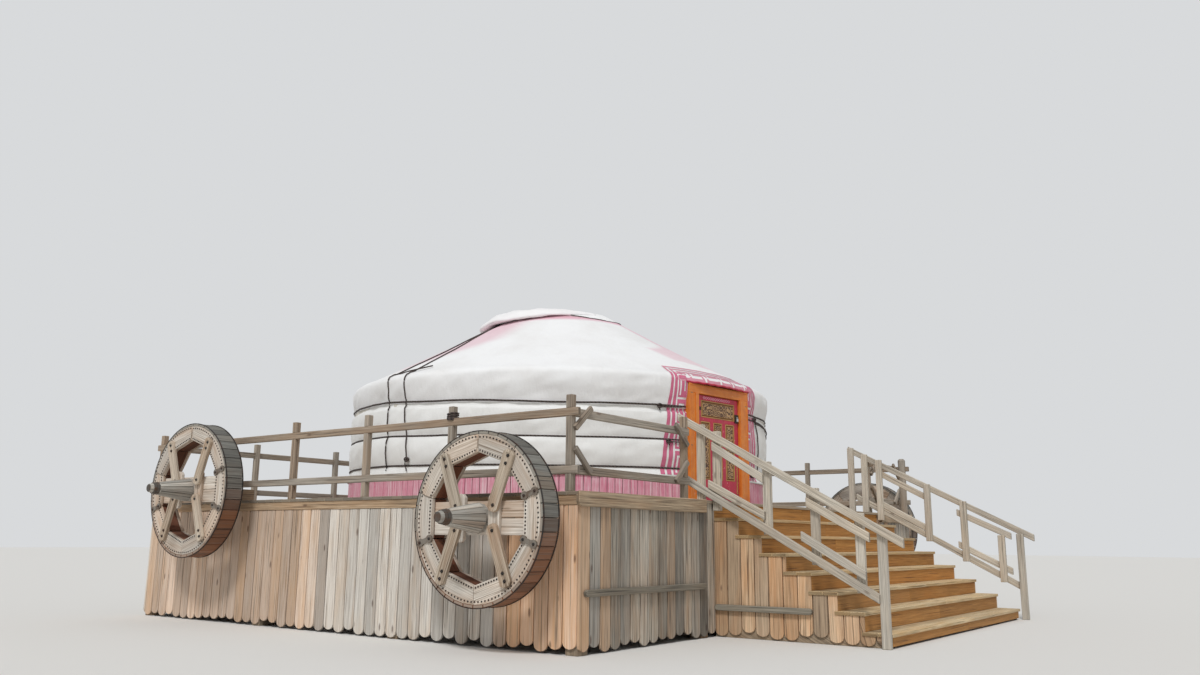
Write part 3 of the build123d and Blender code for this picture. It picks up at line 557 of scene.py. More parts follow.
def dressSpokes():
    bm = copyOfNode("wheel_spokes")
    fronts = [f for f in bm.faces
              if abs(f.normal.x) > 0.9 and abs(f.calc_center_median().x) > wheel["face"] + 0.02]
    bmesh.ops.inset_individual(bm, faces=fronts, thickness=0.030, depth=0.0)
    bmesh.ops.inset_individual(bm, faces=fronts, thickness=0.006, depth=-0.008)
    softenEdges(bm, 0.004, 1, 40)
    roughen(bm, 0.001, 0.35, 3)
    giveGrain(bm, 77)
    return addPiece(bm, "wheelSpokes", "yurt", "spokeTimber", ["wheel_spokes"])


boltLook = dict(radius=0.0095, high=0.0065, sides=6, perPlank=11, fromInner=0.022, fromRim=0.024,
                linkAlong=0.062, linkSize=1.6, spokeShares=(0.02, 0.84, 0.99), spokeSize=1.9, sunk=0.008)


def addBolt(bm, place, size=1.0):
    turn = Matrix.Rotation(math.pi / 2, 4, "Y")
    shift = Matrix.Translation(place + Vector((boltLook["high"] * size / 2, 0, 0)))
    bmesh.ops.create_cone(bm, cap_ends=True, segments=boltLook["sides"], radius1=boltLook["radius"] * size,
                          radius2=boltLook["radius"] * size * 0.6, depth=boltLook["high"] * size,
                          matrix=shift @ turn)


overlay = dict(angles=(342, 306), out=0.014, corner=0.05)


def buildBolts(bm):
    step = 360 / wheel["planks"]
    half = wheel["inner"] * math.tan(math.radians(step / 2))
    for i in range(wheel["planks"]):
        angle = i * step + step / 2
        out = overlay["out"] if round(angle) in overlay["angles"] else 0.0
        for j in range(boltLook["perPlank"]):
            part = -1 + 2 * j / (boltLook["perPlank"] - 1)
            addBolt(bm, wheelSpot(angle, wheel["inner"] + boltLook["fromInner"], out, part * (half - 0.02)))
            addBolt(bm, wheelSpot(angle + part * (step / 2 - 1.6), wheel["rim"] - boltLook["fromRim"], out))
    for angle in wheel["linkAngles"]:
        for along in (-boltLook["linkAlong"], boltLook["linkAlong"]):
            spot = wheelSpot(angle, wheel["linkRadius"] + along, wheel["linkOut"])
            addBolt(bm, spot, boltLook["linkSize"])
    reach = wheel["spokeReach"] * wheel["radius"]
    sunk = Vector((-boltLook["sunk"], 0, 0))
    for ty, tz in ((-1, 1), (1, 1), (-1, -1), (1, -1)):
        foot = Vector((wheel["spokeOut"], ty * wheel["spokeFoot"][0] * wheel["radius"],
                       tz * wheel["spokeFoot"][1] * wheel["radius"]))
        far = Vector((wheel["spokeOut"], ty * reach * math.cos(wheel["spokeAngle"]),
                      tz * reach * math.sin(wheel["spokeAngle"])))
        for share in boltLook["spokeShares"]:
            addBolt(bm, foot.lerp(far, share) + sunk, boltLook["spokeSize"])


bandLook = dict(wide=0.012, thick=0.006, gap=0.002, steps=80)


def buildBands(bm):
    # Flat iron hoops on both edges of the tread
    wide, thick = bandLook["wide"], bandLook["thick"]
    for back in (0.0, wheel["depth"] - wide):
        r = wheel["radius"] + bandLook["gap"]
        corners = [(-back, r), (-back, r + thick), (-back - wide, r + thick), (-back - wide, r)]
        verts = [bm.verts.new((x, 0, z)) for x, z in corners]
        edges = [bm.edges.new((verts[i], verts[(i + 1) % 4])) for i in range(4)]
        bmesh.ops.spin(bm, geom=verts + edges, cent=(0, 0, 0), axis=(1, 0, 0), dvec=(0, 0, 0),
                       angle=2 * math.pi, steps=bandLook["steps"], use_merge=True)
    faceOut(bm)


def buildOverlays(bm):
    step = 360 / wheel["planks"]
    half = wheel["inner"] * math.tan(math.radians(step / 2)) - 0.003
    for k, angle in enumerate(overlay["angles"]):
        arcSteps = 6
        outer = [angle + (step / 2 - 0.3) * (1 - 2 * i / arcSteps) for i in range(arcSteps + 1)]
        spots = [wheelSpot(angle, wheel["inner"] + 0.001, 0, across) for across in (-half, half)]
        spots += [wheelSpot(a, wheel["rim"] - 0.006) for a in outer]
        verts = [bm.verts.new(p) for p in spots]
        bm.faces.new(verts)
        # The outer plank ends are rounded where they lie over their neighbours
        ends = (verts[1], verts[2]) if k == 0 else (verts[0], verts[-1])
        bmesh.ops.bevel(bm, geom=list(ends), offset=overlay["corner"], offset_type="OFFSET",
                        affect="VERTICES", segments=4, profile=0.5, material=-1)
    grown = bmesh.ops.extrude_face_region(bm, geom=bm.faces[:])
    tops = [v for v in grown["geom"] if isinstance(v, bmesh.types.BMVert)]
    bmesh.ops.translate(bm, verts=tops, vec=(overlay["out"], 0, 0))
    faceOut(bm)


hubLook = dict(baseRadius=0.132, tipRadius=0.045, start=-0.04, end=0.47, staveEnd=0.362, staves=12,
               proud=0.006, thick=0.026, gap=0.006)


def hubRadius(x):
    share = (x - hubLook["start"]) / (hubLook["end"] - hubLook["start"])
    return hubLook["baseRadius"] + (hubLook["tipRadius"] - hubLook["baseRadius"]) * share


def buildHubStaves(bm):
    luck = random.Random(3)
    for k in range(hubLook["staves"]):
        middle = 2 * math.pi * k / hubLook["staves"]
        lift = luck.uniform(-0.002, 0.002)
        rings = []
        for x in (0.002, hubLook["staveEnd"] - luck.uniform(0, 0.012)):
            r1 = (hubRadius(x) + hubLook["proud"] + lift) / math.cos(math.pi / hubLook["staves"])
            r0 = r1 - hubLook["thick"]
            half = math.pi / hubLook["staves"] - hubLook["gap"] / 2 / r1
            corners = ((r0, middle - half), (r0, middle + half), (r1, middle + half), (r1, middle - half))
            rings.append([bm.verts.new((x, r * math.sin(a), r * math.cos(a))) for r, a in corners])
        bm.faces.new(rings[0])
        bm.faces.new(rings[1])
        for i in range(4):
            j = (i + 1) % 4
            bm.faces.new((rings[0][i], rings[0][j], rings[1][j], rings[1][i]))
    faceOut(bm)


def buildTips(bm):
    # Iron axle end beyond the hub's ring, in two stepped pieces
    turn = Matrix.Rotation(math.pi / 2, 4, "Y")
    for start, end, r in ((0.405, 0.430, 0.062), (0.430, 0.474, 0.040)):
        bmesh.ops.create_cone(bm, cap_ends=True, segments=16, radius1=r + 0.004, radius2=r, depth=end - start,
                              matrix=Matrix.Translation(((start + end) / 2, 0, 0)) @ turn)


def dressWheels():
    dressSpokes()
    pieces = (("wheelBolts", buildBolts, "iron_dark", "forgedIron", False),
              ("wheelBands", buildBands, "iron_dark", "forgedIron", False),
              ("hubTips", buildTips, "iron_dark", "hubIron", False),
              ("ringOverlays", buildOverlays, "wood_wheel", "wheelPlanks", True),
              ("hubStaves", buildHubStaves, "wood_tread", "hubStaves", True))
    for name, build, slotName, materialName, wooden in pieces:
        bm = bmesh.new()
        onWheels(bm, build)
        if wooden:
            softenEdges(bm, 0.003, 1, 40)
            giveGrain(bm, len(name))
        addPiece(bm, name, "yurt", materialName)


def staveStain(centre):
    place = min(wheels, key=lambda w: (w[1] - centre).length)[1]
    return smoothStep(0.12, -0.4, (centre.z - place.z) / wheel["radius"])


dressWheels()
giveShift(bpy.data.objects["wheelStaves"], staveStain)
print("wheels dressed")


# Stair boards: two planks to a riser, and two courses to a tread

stairBoards = dict(gap=0.004, uneven=0.2, drop=0.002)


def plankedCopy(name, node, materialName, alongX, alongY, seed):
    luck = random.Random(seed)
    half = stairBoards["gap"] / 2
    source = copyOfNode(node)
    bm = bmesh.new()
    for group in islandsOf(source):
        points = [v.co for f in group for v in f.verts]
        low = Vector([min(p[i] for p in points) for i in range(3)])
        high = Vector([max(p[i] for p in points) for i in range(3)])
        courses = [low.y + (high.y - low.y) * i / alongY for i in range(alongY + 1)]
        for y0, y1 in zip(courses, courses[1:]):
            inner = [low.x + (high.x - low.x) * (i + luck.uniform(-1, 1) * stairBoards["uneven"]) / alongX
                     for i in range(1, alongX)]
            joints = [low.x, *inner, high.x]
            for x0, x1 in zip(joints, joints[1:]):
                a = (x0 + half * (x0 > low.x), y0 + half * (y0 > low.y), low.z)
                b = (x1 - half * (x1 < high.x), y1 - half * (y1 < high.y),
                     high.z - luck.uniform(0, stairBoards["drop"]))
                addCube(bm, a, b)
    source.free()
    softenEdges(bm, 0.004)
    giveGrain(bm, seed)
    return addPiece(bm, name, "yurt", materialName, [node])


plankedCopy("stairTreads", "stair_treads", "treadBoards", 2, 2, 6)
plankedCopy("stairRisers", "stair_risers", "riserBoards", 2, 1, 7)


# Rows of upright boards round the platform, each its own plank with a rounded foot

boardRows = dict(pitch=0.16, gap=0.011, thick=0.024, footRise=0.055, lowest=0.012, dropSpread=0.05,
                 proud=0.004)


def boardOutline(a, b, foot, spans):
    points = []
    for start, end, height in spans:
        left = max(a, start)
        right = min(b, end)
        if right - left < 0.002:
            continue
        points.append((left, height))
        points.append((right, height))
    radius = (b - a) / 2
    centre = (a + b) / 2
    arcSteps = 6
    for i in range(arcSteps + 1):
        turn = math.pi * i / arcSteps
        points.append((centre + radius * math.cos(turn), foot + boardRows["footRise"] * (1 - math.sin(turn))))
    return points


def addBoard(bm, outline, toPoint, outward):
    # toPoint turns a place on the face into a point; outward is the way the board faces
    verts = [bm.verts.new(toPoint(s, z)) for s, z in outline]
    face = bm.faces.new(verts)
    grown = bmesh.ops.extrude_face_region(bm, geom=[face])
    back = [v for v in grown["geom"] if isinstance(v, bmesh.types.BMVert)]
    bmesh.ops.translate(bm, verts=back, vec=outward * -boardRows["thick"])


def boardWall(name, start, end, spans, toPoint, outward, materialName, nodes, seed):
    luck = random.Random(seed)
    bm = bmesh.new()
    count = round((end - start) / boardRows["pitch"])
    pitch = (end - start) / count
    for i in range(count):
        a = start + i * pitch + boardRows["gap"] / 2
        b = a + pitch - boardRows["gap"]
        foot = boardRows["lowest"] + luck.random() ** 2 * boardRows["dropSpread"]
        proud = outward * luck.uniform(-1, 0) * boardRows["proud"]
        addBoard(bm, boardOutline(a, b, foot, spans), lambda s, z: toPoint(s, z) + proud, outward)
    faceOut(bm)
    softenEdges(bm, 0.003, 1, 50)
    giveGrain(bm, seed)
    return addPiece(bm, name, "yurt", materialName, nodes)


def skirtStain(centre):
    # The boards by the front corner keep their orange stain, and those by the rear wheel some of it
    rear = max(place.y for side, place in wheels)
    byCorner = 0.8 * smoothStep(1.1, 0.8, centre.y - frontY)
    return max(byCorner, 0.5 * smoothStep(rear - 2.3, rear - 1.5, centre.y))


def skirtBoards():
    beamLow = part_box("deck_frame")[0].z
    axleGap = 0.004
    for node, side in (("skirt_left", -1), ("skirt_right", 1)):
        low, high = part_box(node)
        x = low.x if side < 0 else high.x
        front, back, under = frontAxleSpan()
        front, back, under = front - axleGap, back + axleGap, under - axleGap
        spans = [(low.y, front, beamLow), (front, back, under), (back, high.y, beamLow)]
        piece = boardWall(node + "_boards", low.y, high.y, spans, lambda s, z: Vector((x, s, z)),
                          Vector((side, 0, 0)), "tanBoards", [node], 21 + side)
        giveShift(piece, skirtStain)
    low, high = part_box("skirt_back")
    boardWall("skirt_back_boards", low.x, high.x, [(low.x, high.x, high.z)],
              lambda s, z: Vector((s, high.y, z)), Vector((0, 1, 0)), "tanBoards",
              ["skirt_back"], 25)
    low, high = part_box("skirt_front")
    stairLow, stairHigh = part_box("stair_treads")
    for name, a, b in (("skirt_front_left", low.x, stairLow.x), ("skirt_front_right", stairHigh.x, high.x)):
        replaced = ["skirt_front"] if a == low.x else []
        boardWall(name, a, b, [(a, b, high.z)], lambda s, z: Vector((s, low.y, z)), Vector((0, -1, 0)),
                  "greyBoards", replaced, 27)


def frontAxleSpan():
    # Where the front axles pass through the side boards: y from, y to, and their underside
    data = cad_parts["axles"].data
    below = [v.co for v in data.vertices if v.co.z < deckTop - 0.01]
    return min(c.y for c in below), max(c.y for c in below), min(c.z for c in below)


stair = dict(steps=7, run=0.267, rise=0.18, setback=0.016, treadThick=0.035)


def stairSideBoards():
    low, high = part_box("stair_sides")
    spans = []
    for k in range(stair["steps"], 0, -1):
        nose = frontY - k * stair["run"]
        back = nose + stair["run"] + stair["setback"] if k > 1 else high.y
        spans.append((nose + stair["setback"], back, deckTop - k * stair["rise"] - stair["treadThick"]))
    for side in (-1, 1):
        x = low.x if side < 0 else high.x
        name = "stairSide_left" if side < 0 else "stairSide_right"
        boardWall(name, low.y, high.y, spans, lambda s, z: Vector((x, s, z)), Vector((side, 0, 0)),
                  "sideBoards", ["stair_sides"] if side < 0 else [], 31 + side)


skirtBoards()
stairSideBoards()
print("boards made")


# Deck: planks that run across, with the same edges as the slab

deckPlanks = dict(pitch=0.152, gap=0.005, drop=0.002)


def deckBoards():
    luck = random.Random(5)
    bm = bmesh.new()
    low, high = deckLow, deckHigh
    count = round((high.y - low.y) / deckPlanks["pitch"])
    pitch = (high.y - low.y) / count
    for i in range(count):
        y0 = low.y + i * pitch
        y1 = y0 + pitch - (deckPlanks["gap"] if i < count - 1 else 0)
        drop = luck.uniform(0, deckPlanks["drop"])
        addCube(bm, (low.x, y0, low.z - drop), (high.x, y1, high.z - drop))
    softenEdges(bm, 0.003)
    giveGrain(bm, 5)
    return addPiece(bm, "deckBoards", "yurt", "deckTimber", ["deck"])


deckBoards()


# Tent covers, spun round the tent's own axis and shaped by the ropes that hold them

tent = dict(radius=2.955, eave=1.552, slope=math.radians(28.5), roofThick=0.028, crown=0.74,
            doorHalf=0.6, frameHigh=1.488, ropes=(0.44, 0.795, 1.215), base=0.346, steps=240, lean=0.03)

# How far the ropes ride above their usual height, by the direction seen from the tent's middle, in degrees
ropeRise = ((-98, 0.0), (-112, -0.03), (-141, -0.045), (-170, 0.0), (-192, 0.05), (-231, 0.08), (-290, 0.04),
            (-340, 0.0), (-458, 0.0))


def doorAngle(radius):
    return math.asin(tent["doorHalf"] / radius)


def spunProfile(bm, profile, start, sweep, steps):
    verts = [bm.verts.new((r * math.cos(start), r * math.sin(start), z)) for r, z in profile]
    edges = [bm.edges.new(pair) for pair in zip(verts, verts[1:])]
    bmesh.ops.spin(bm, geom=verts + edges, cent=(0, 0, 0), axis=(0, 0, 1), dvec=(0, 0, 0), angle=sweep,
                   steps=steps, use_merge=False)


def riseAt(angle):
    # angle is in the tent's own directions
    degrees = (math.degrees(angle + doorTurn) + 98) % 360 - 360 - 98
    if degrees < -458:
        degrees += 360
    for (a, low), (b, high) in zip(ropeRise, ropeRise[1:]):
        if b <= degrees <= a:
            return low + (high - low) * smoothStep(a, b, degrees) if a > b else low
    return 0.0


def ropeHeight(i, angle):
    high = tent["ropes"][i] + riseAt(angle) * (0.35 + 0.325 * i)
    turned = math.atan2(math.sin(angle), math.cos(angle))
    if i == 1 and turned > -math.pi / 2:
        # Right of the door the middle rope is drawn up and tied to the top one
        high += 0.355 * smoothStep(math.radians(-5), math.radians(-72), turned)
    return high


def leanAt(angle, z):
    # The whole tent leans a little to the front right
    return tent["lean"] * smoothStep(0.4, 1.5, z) * math.cos(angle - math.radians(-45))


def puckers(angle, z, scale):
    around = Vector((math.cos(angle), math.sin(angle), 0))
    broad = noise.noise(around * 9 + Vector((0, 0, z * 1.6)))
    drag = noise.noise(around * 24 + Vector((z * 5, 0, z * 2.0)))
    folds = noise.noise(around * 15 + Vector((0, z * 9, z * 1.5)))
    return (broad * 0.010 + drag * 0.006 + folds * 0.008) * scale


def wallRadius(angle, z):
    # Canvas pinched by the ropes, bulging between them and flaring over the base boards
    radius = tent["radius"]
    low = ropeHeight(0, angle)
    if z < low:
        out = 0.008 + 0.03 * smoothStep(low, tent["base"] - 0.02, z)
        near = math.exp(-((z - low) / 0.04) ** 2)
    elif z > ropeHeight(2, angle) - 0.07:
        out = 0.006       # tucked in under the roof's hem
        near = 1.0
    else:
        middle = ropeHeight(1, angle)
        a, b = (low, middle) if z < middle else (middle, ropeHeight(2, angle))
        part = min(1.0, max(0.0, (z - a) / (b - a)))
        out = 0.006 + 0.036 * math.sin(math.pi * part) ** 0.6 * (0.75 + 0.25 * part)
        near = math.exp(-((z - a) / 0.05) ** 2) + math.exp(-((z - b) / 0.05) ** 2)
    return radius + out + puckers(angle, z, 1.4 - 0.7 * min(1, near)) + leanAt(angle, z)


def wallPoint(angle, z, lift=0.0):
    r = wallRadius(angle, z) + lift
    return Vector((r * math.cos(angle), r * math.sin(angle), z))


def spunSheet(name, build, materialName, nodes, thick):
    bm = bmesh.new()
    build(bm)
    faceOut(bm)
    bmesh.ops.transform(bm, matrix=toWorld, verts=bm.verts)
    uvLayer = bm.loops.layers.uv.new("grain")
    for face in bm.faces:
        for loop in face.loops:
            local = toWorld.inverted() @ loop.vert.co
            loop[uvLayer].uv = (math.atan2(local.y, local.x) * tent["radius"], local.z)
    piece = addPiece(bm, name, "yurt", materialName, nodes)
    for poly in piece.data.polygons:
        poly.use_smooth = True
    wallThick = piece.modifiers.new("thick", "SOLIDIFY")
    wallThick.thickness = thick
    wallThick.offset = -1
    return piece


def buildWall(bm):
    low = tent["base"] - 0.02
    high = tent["eave"] - 0.01
    rows = 60
    profile = [(tent["radius"], low + (high - low) * i / rows) for i in range(rows + 1)]
    gap = doorAngle(tent["radius"] + 0.02)
    spunProfile(bm, profile, -math.pi / 2 + gap, 2 * math.pi - 2 * gap, tent["steps"])
    for vert in bm.verts:
        vert.co = wallPoint(math.atan2(vert.co.y, vert.co.x), vert.co.z)


def roofHeight(r):
    lip = tent["roofThick"] / math.cos(tent["slope"])
    return tent["eave"] + (tent["radius"] - r) * math.tan(tent["slope"]) + lip


def roofProfile(hemLow):
    # From the crown down the slope, round the eave and down to the hem
    points = []
    inner = tent["crown"] - 0.02
    outer = tent["radius"] - 0.07
    slopeRows = 44
    for i in range(slopeRows + 1):
        r = inner + (outer - inner) * i / slopeRows
        points.append((r, roofHeight(r)))
    edge = tent["radius"] + tent["roofThick"] + 0.004
    bend = edge - outer
    bendRows = 7
    start = math.pi / 2 - tent["slope"]
    centreZ = roofHeight(outer) - bend * math.sin(start)
    for i in range(1, bendRows + 1):
        turn = start * (1 - i / bendRows)
        points.append((outer + (bend * math.cos(turn) - bend * math.cos(start)) / (1 - math.cos(start)),
                       centreZ + bend * math.sin(turn)))
    top = points[-1][1]
    hemRows = 18
    for i in range(1, hemRows + 1):
        points.append((edge, top + (hemLow - top) * i / hemRows))
    return points


def hemBottom(angle):
    return ropeHeight(2, angle) - 0.022


def roofPoint(angle, r, z, lift=0.0):
    # r and z are a place on the plain profile
    edge = tent["radius"] + tent["roofThick"]
    if r > edge - 0.02:
        rope = ropeHeight(2, angle)
        if z > rope:
            part = min(1.0, (z - rope) / (tent["eave"] - rope))
            swell = 0.022 * math.sin(math.pi * part) ** 0.7
        else:
            swell = 0.010 * smoothStep(rope, rope - 0.022, z)
        pulledIn = 0.034 * smoothStep(tent["eave"] + 0.02, rope, z)
        r += swell + 0.012 - pulledIn + puckers(angle, z, 1.8)
    else:
        place = Vector((math.cos(angle) * r * 1.3, math.sin(angle) * r * 1.3, 0))
        sag = -0.018 * math.sin(math.pi * min(1.0, max(0.0, (r - tent["crown"]) / 2.2)))
        z += noise.noise(place) * 0.010 + noise.noise(place * 4) * 0.003 + 0.006 + sag
    r += leanAt(angle, z) + lift * 0.7
    return Vector((r * math.cos(angle), r * math.sin(angle), z + lift * 0.7))


def buildRoof(bm):
    gap = doorAngle(tent["radius"] + tent["roofThick"] + 0.004)
    plainHem = tent["ropes"][2] - 0.022
    spunProfile(bm, roofProfile(plainHem), -math.pi / 2 + gap, 2 * math.pi - 2 * gap, tent["steps"])
    spunProfile(bm, roofProfile(tent["frameHigh"] + 0.006), -math.pi / 2 - gap, 2 * gap, 18)
    bmesh.ops.remove_doubles(bm, verts=bm.verts, dist=0.0005)
    eaveZ = tent["eave"] - 0.03
    for vert in bm.verts:
        angle = math.atan2(vert.co.y, vert.co.x)
        r = math.hypot(vert.co.x, vert.co.y)
        z = vert.co.z
        beside = abs(angle + math.pi / 2) > gap - 0.001
        if z < eaveZ and beside:
            # the hem follows the rope
            z = eaveZ + (z - eaveZ) * (eaveZ - hemBottom(angle)) / (eaveZ - plainHem)
        vert.co = roofPoint(angle, r, z)


wallNodes = ["wall_" + part for part in ("front_right", "right", "back_right", "back_left", "left",
                                         "front_left")]
wall = spunSheet("wallCanvas", buildWall, "wallCanvas", wallNodes, 0.006)
roof = spunSheet("roofCanvas", buildRoof, "roofCanvas",
                 ["roof_cover_" + str(i) for i in range(1, 7)], 0.006)


def giveTint(piece, tintAt):
    # How strongly the pink of the roof's star bleeds into the cloth, for each point
    layer = piece.data.attributes.new("tint", "FLOAT", "POINT")
    inverse = toWorld.inverted()
    for i, vert in enumerate(piece.data.vertices):
        layer.data[i].value = tintAt(inverse @ vert.co)


# The star's arms: direction, how softly the edge fades, and half widths in metres by distance from the middle
sideArm = ((1.0, 0.7), (1.75, 1.0), (2.05, 0.8), (2.48, 0.36), (2.75, 0.0))
starArms = ((-73, 0.18, ((1.0, 0.2), (1.75, 0.3), (1.95, 0.7), (2.02, 0.95), (2.36, 0.97), (2.6, 0.0))),
            (10, 0.4, sideArm), (92, 0.4, sideArm),
            (172, 0.5, ((1.0, 0.75), (1.75, 1.05), (2.05, 0.9), (2.48, 0.5), (2.8, 0.0))))


def armWidth(arm, r):
    for (r0, w0), (r1, w1) in zip(arm, arm[1:]):
        if r0 <= r <= r1:
            return w0 + (w1 - w0) * (r - r0) / (r1 - r0)
    return 0.0


def roofTint(local):
    # A pale pink star, faded, with one arm over the door and one to each other side
    r = math.hypot(local.x, local.y)
    if r > tent["radius"] - 0.05:
        return 0.0
    angle = math.degrees(math.atan2(local.y, local.x))
    strength = 0.0
    for middle, fade, arm in starArms:
        away = abs((angle - middle + 180) % 360 - 180) * math.radians(1) * r
        width = armWidth(arm, r)
        if width > 0.02:
            strength = max(strength, smoothStep(width, width - fade, away) * (0.52 - 0.12 * (r - 1)))
    ring = smoothStep(1.12, 1.02, r) * 0.7
    return max(strength, ring)


giveTint(roof, roofTint)


# Felt behind the canvas, and the lattice that it hangs on

def buildFelt(bm):
    rows = 6
    r = tent["radius"] - 0.014
    high = tent["eave"] - 0.03
    profile = [(r, 0.004 + high * i / rows) for i in range(rows + 1)]
    gap = doorAngle(r) + 0.003
    spunProfile(bm, profile, -math.pi / 2 + gap, 2 * math.pi - 2 * gap, 120)


felt = spunSheet("wallFelt", buildFelt, "feltLayer", [], 0.010)

lattice = dict(radius=2.905, high=1.50, laths=78, lathWidth=0.026, lathThick=0.009, turn=math.radians(26),
               parts=10)


def buildLattice():
    # Laths cross in two layers, each a slice of a helix
    bm = bmesh.new()
    gap = doorAngle(lattice["radius"]) + 0.01
    for layer in (0, 1):
        r = lattice["radius"] + layer * (lattice["lathThick"] + 0.002)
        way = 1 if layer else -1
        for i in range(lattice["laths"]):
            start = -math.pi / 2 + i * 2 * math.pi / lattice["laths"]
            spots = []
            for j in range(lattice["parts"] + 1):
                part = j / lattice["parts"]
                angle = start + way * lattice["turn"] * part
                spots.append((angle, 0.012 + lattice["high"] * part))
            away = [abs((a + math.pi / 2 + math.pi) % (2 * math.pi) - math.pi) for a, z in spots]
            spots = [spot for spot, far in zip(spots, away) if far > gap]
            if len(spots) < 3:
                continue
            addLath(bm, spots, r)
    giveGrain(bm, 41)
    return addPiece(bm, "latticeLaths", "yurt", "redPaint")


def addLath(bm, spots, r):
    half = lattice["lathWidth"] / 2
    thick = lattice["lathThick"]
    rings = []
    for angle, z in spots:
        ring = []
        for dz, dr in ((-half, 0), (half, 0), (half, thick), (-half, thick)):
            rr = r + dr
            ring.append(bm.verts.new((rr * math.cos(angle), rr * math.sin(angle), z + dz)))
        rings.append(ring)
    for low, high in zip(rings, rings[1:]):
        for k in range(4):
            bm.faces.new((low[k], low[(k + 1) % 4], high[(k + 1) % 4], high[k]))
    bm.faces.new(list(reversed(rings[0])))
    bm.faces.new(rings[-1])
    fresh = [v for ring in rings for v in ring]
    bmesh.ops.transform(bm, matrix=toWorld, verts=fresh)


buildLattice()
print("covers made")


# Ropes: girth ropes in the canvas's hollows, two ropes that hold the roof, and their knots

ropes = dict(radius=0.011, sides=8)


def ropeTube(bm, path, radius):
    # A tube along close points, with a map that runs along it for the strands
    uvLayer = bm.loops.layers.uv.get("grain") or bm.loops.layers.uv.new("grain")
    rings = []
    length = 0.0
    lengths = []
    sides = ropes["sides"]
    for i, point in enumerate(path):
        before = path[max(0, i - 1)]
        after = path[min(len(path) - 1, i + 1)]
        if i:
            length += (point - path[i - 1]).length
        lengths.append(length)
        along = (after - before).normalized()
        side = along.cross(Vector((0, 0, 1)))
        if side.length < 0.1:
            side = along.cross(Vector((1, 0, 0)))
        side.normalize()
        up = side.cross(along)
        ring = []
        for k in range(sides):
            turn = 2 * math.pi * k / sides
            ring.append(bm.verts.new(point + (side * math.cos(turn) + up * math.sin(turn)) * radius))
        rings.append(ring)
    for i in range(len(rings) - 1):
        for k in range(sides):
            low, high = rings[i], rings[i + 1]
            face = bm.faces.new((low[k], low[(k + 1) % sides], high[(k + 1) % sides], high[k]))
            face.smooth = True
            corners = ((k, i), (k + 1, i), (k + 1, i + 1), (k, i + 1))
            for loop, (kk, ii) in zip(face.loops, corners):
                loop[uvLayer].uv = (lengths[ii], kk / sides * 0.07)
    bm.faces.new(list(reversed(rings[0])))
    bm.faces.new(rings[-1])


def girthPath(i):
    r = tent["radius"]
    gap = doorAngle(r) + 0.002
    steps = 200
    points = []
    for k in range(steps + 1):
        angle = -math.pi / 2 + gap + (2 * math.pi - 2 * gap) * k / steps
        z = ropeHeight(i, angle)
        if i == 2:
            point = roofPoint(angle, r + tent["roofThick"] + 0.004, z, ropes["radius"])
            point.z = z
        else:
            point = wallPoint(angle, z, ropes["radius"] * 0.6)
        points.append(toWorld @ point)
    return points


def girthRopes():
    bm = bmesh.new()
    for i in range(len(tent["ropes"])):
        ropeTube(bm, girthPath(i), ropes["radius"])
    faceOut(bm)
    return addPiece(bm, "girthRopes", "yurt", "hairRope", ["girth_ropes"])


girthRopes()


def tentAngle(worldDegrees):
    return math.radians(worldDegrees) - doorTurn


def downPath(degreesTop, degreesEave, degreesFoot, foot):
    # Down the slope, over the eave and down the wall to the foot height
    points = []
    slopeSteps = 26
    lift = ropes["radius"] * 0.9
    turns = [tentAngle(d) for d in (degreesTop, degreesEave)]
    top, eave = [Vector((math.cos(a), math.sin(a))) * r for a, r in zip(turns, (0.93, tent["radius"] - 0.07))]
    for k in range(slopeSteps + 1):
        part = k / slopeSteps
        spot = top.lerp(eave, part)
        points.append(roofPoint(math.atan2(spot.y, spot.x), spot.length, roofHeight(spot.length), lift))
    profile = [(r, z) for r, z in roofProfile(hemBottom(tentAngle(degreesEave))) if r > tent["radius"] - 0.07]
    for r, z in profile:
        points.append(roofPoint(tentAngle(degreesEave), r, z, lift * 1.3))
    start = points[-1].z
    wallSteps = 20
    for k in range(1, wallSteps + 1):
        part = k / wallSteps
        z = start + (foot - start) * part
        angle = tentAngle(degreesEave + (degreesFoot - degreesEave) * part)
        points.append(wallPoint(angle, z, ropes["radius"] * 1.6))
    return [toWorld @ p for p in points]


def knotLoop(centre, outward, size, turns, seed):
    # A lumpy knot: a few turns of rope round each other
    luck = random.Random(seed)
    up = Vector((0, 0, 1))
    side = outward.cross(up).normalized()
    points = []
    steps = 14 * turns
    for k in range(steps + 1):
        turn = 2 * math.pi * k / 14
        wobble = 1 + 0.35 * math.sin(turn * 0.7 + seed)
        points.append(centre + side * math.cos(turn) * size * wobble + up * math.sin(turn) * size
                      + outward * (0.012 + 0.012 * math.sin(turn * 1.5 + luck.random())))
    return points


def steppedPath(spots, steps, toPoint):
    # Even steps from each spot to the next, without the last spot
    path = []
    for start, end in zip(spots, spots[1:]):
        for k in range(steps):
            share = k / steps
            path.append(toWorld @ toPoint(*[a + (b - a) * share for a, b in zip(start, end)]))
    return path


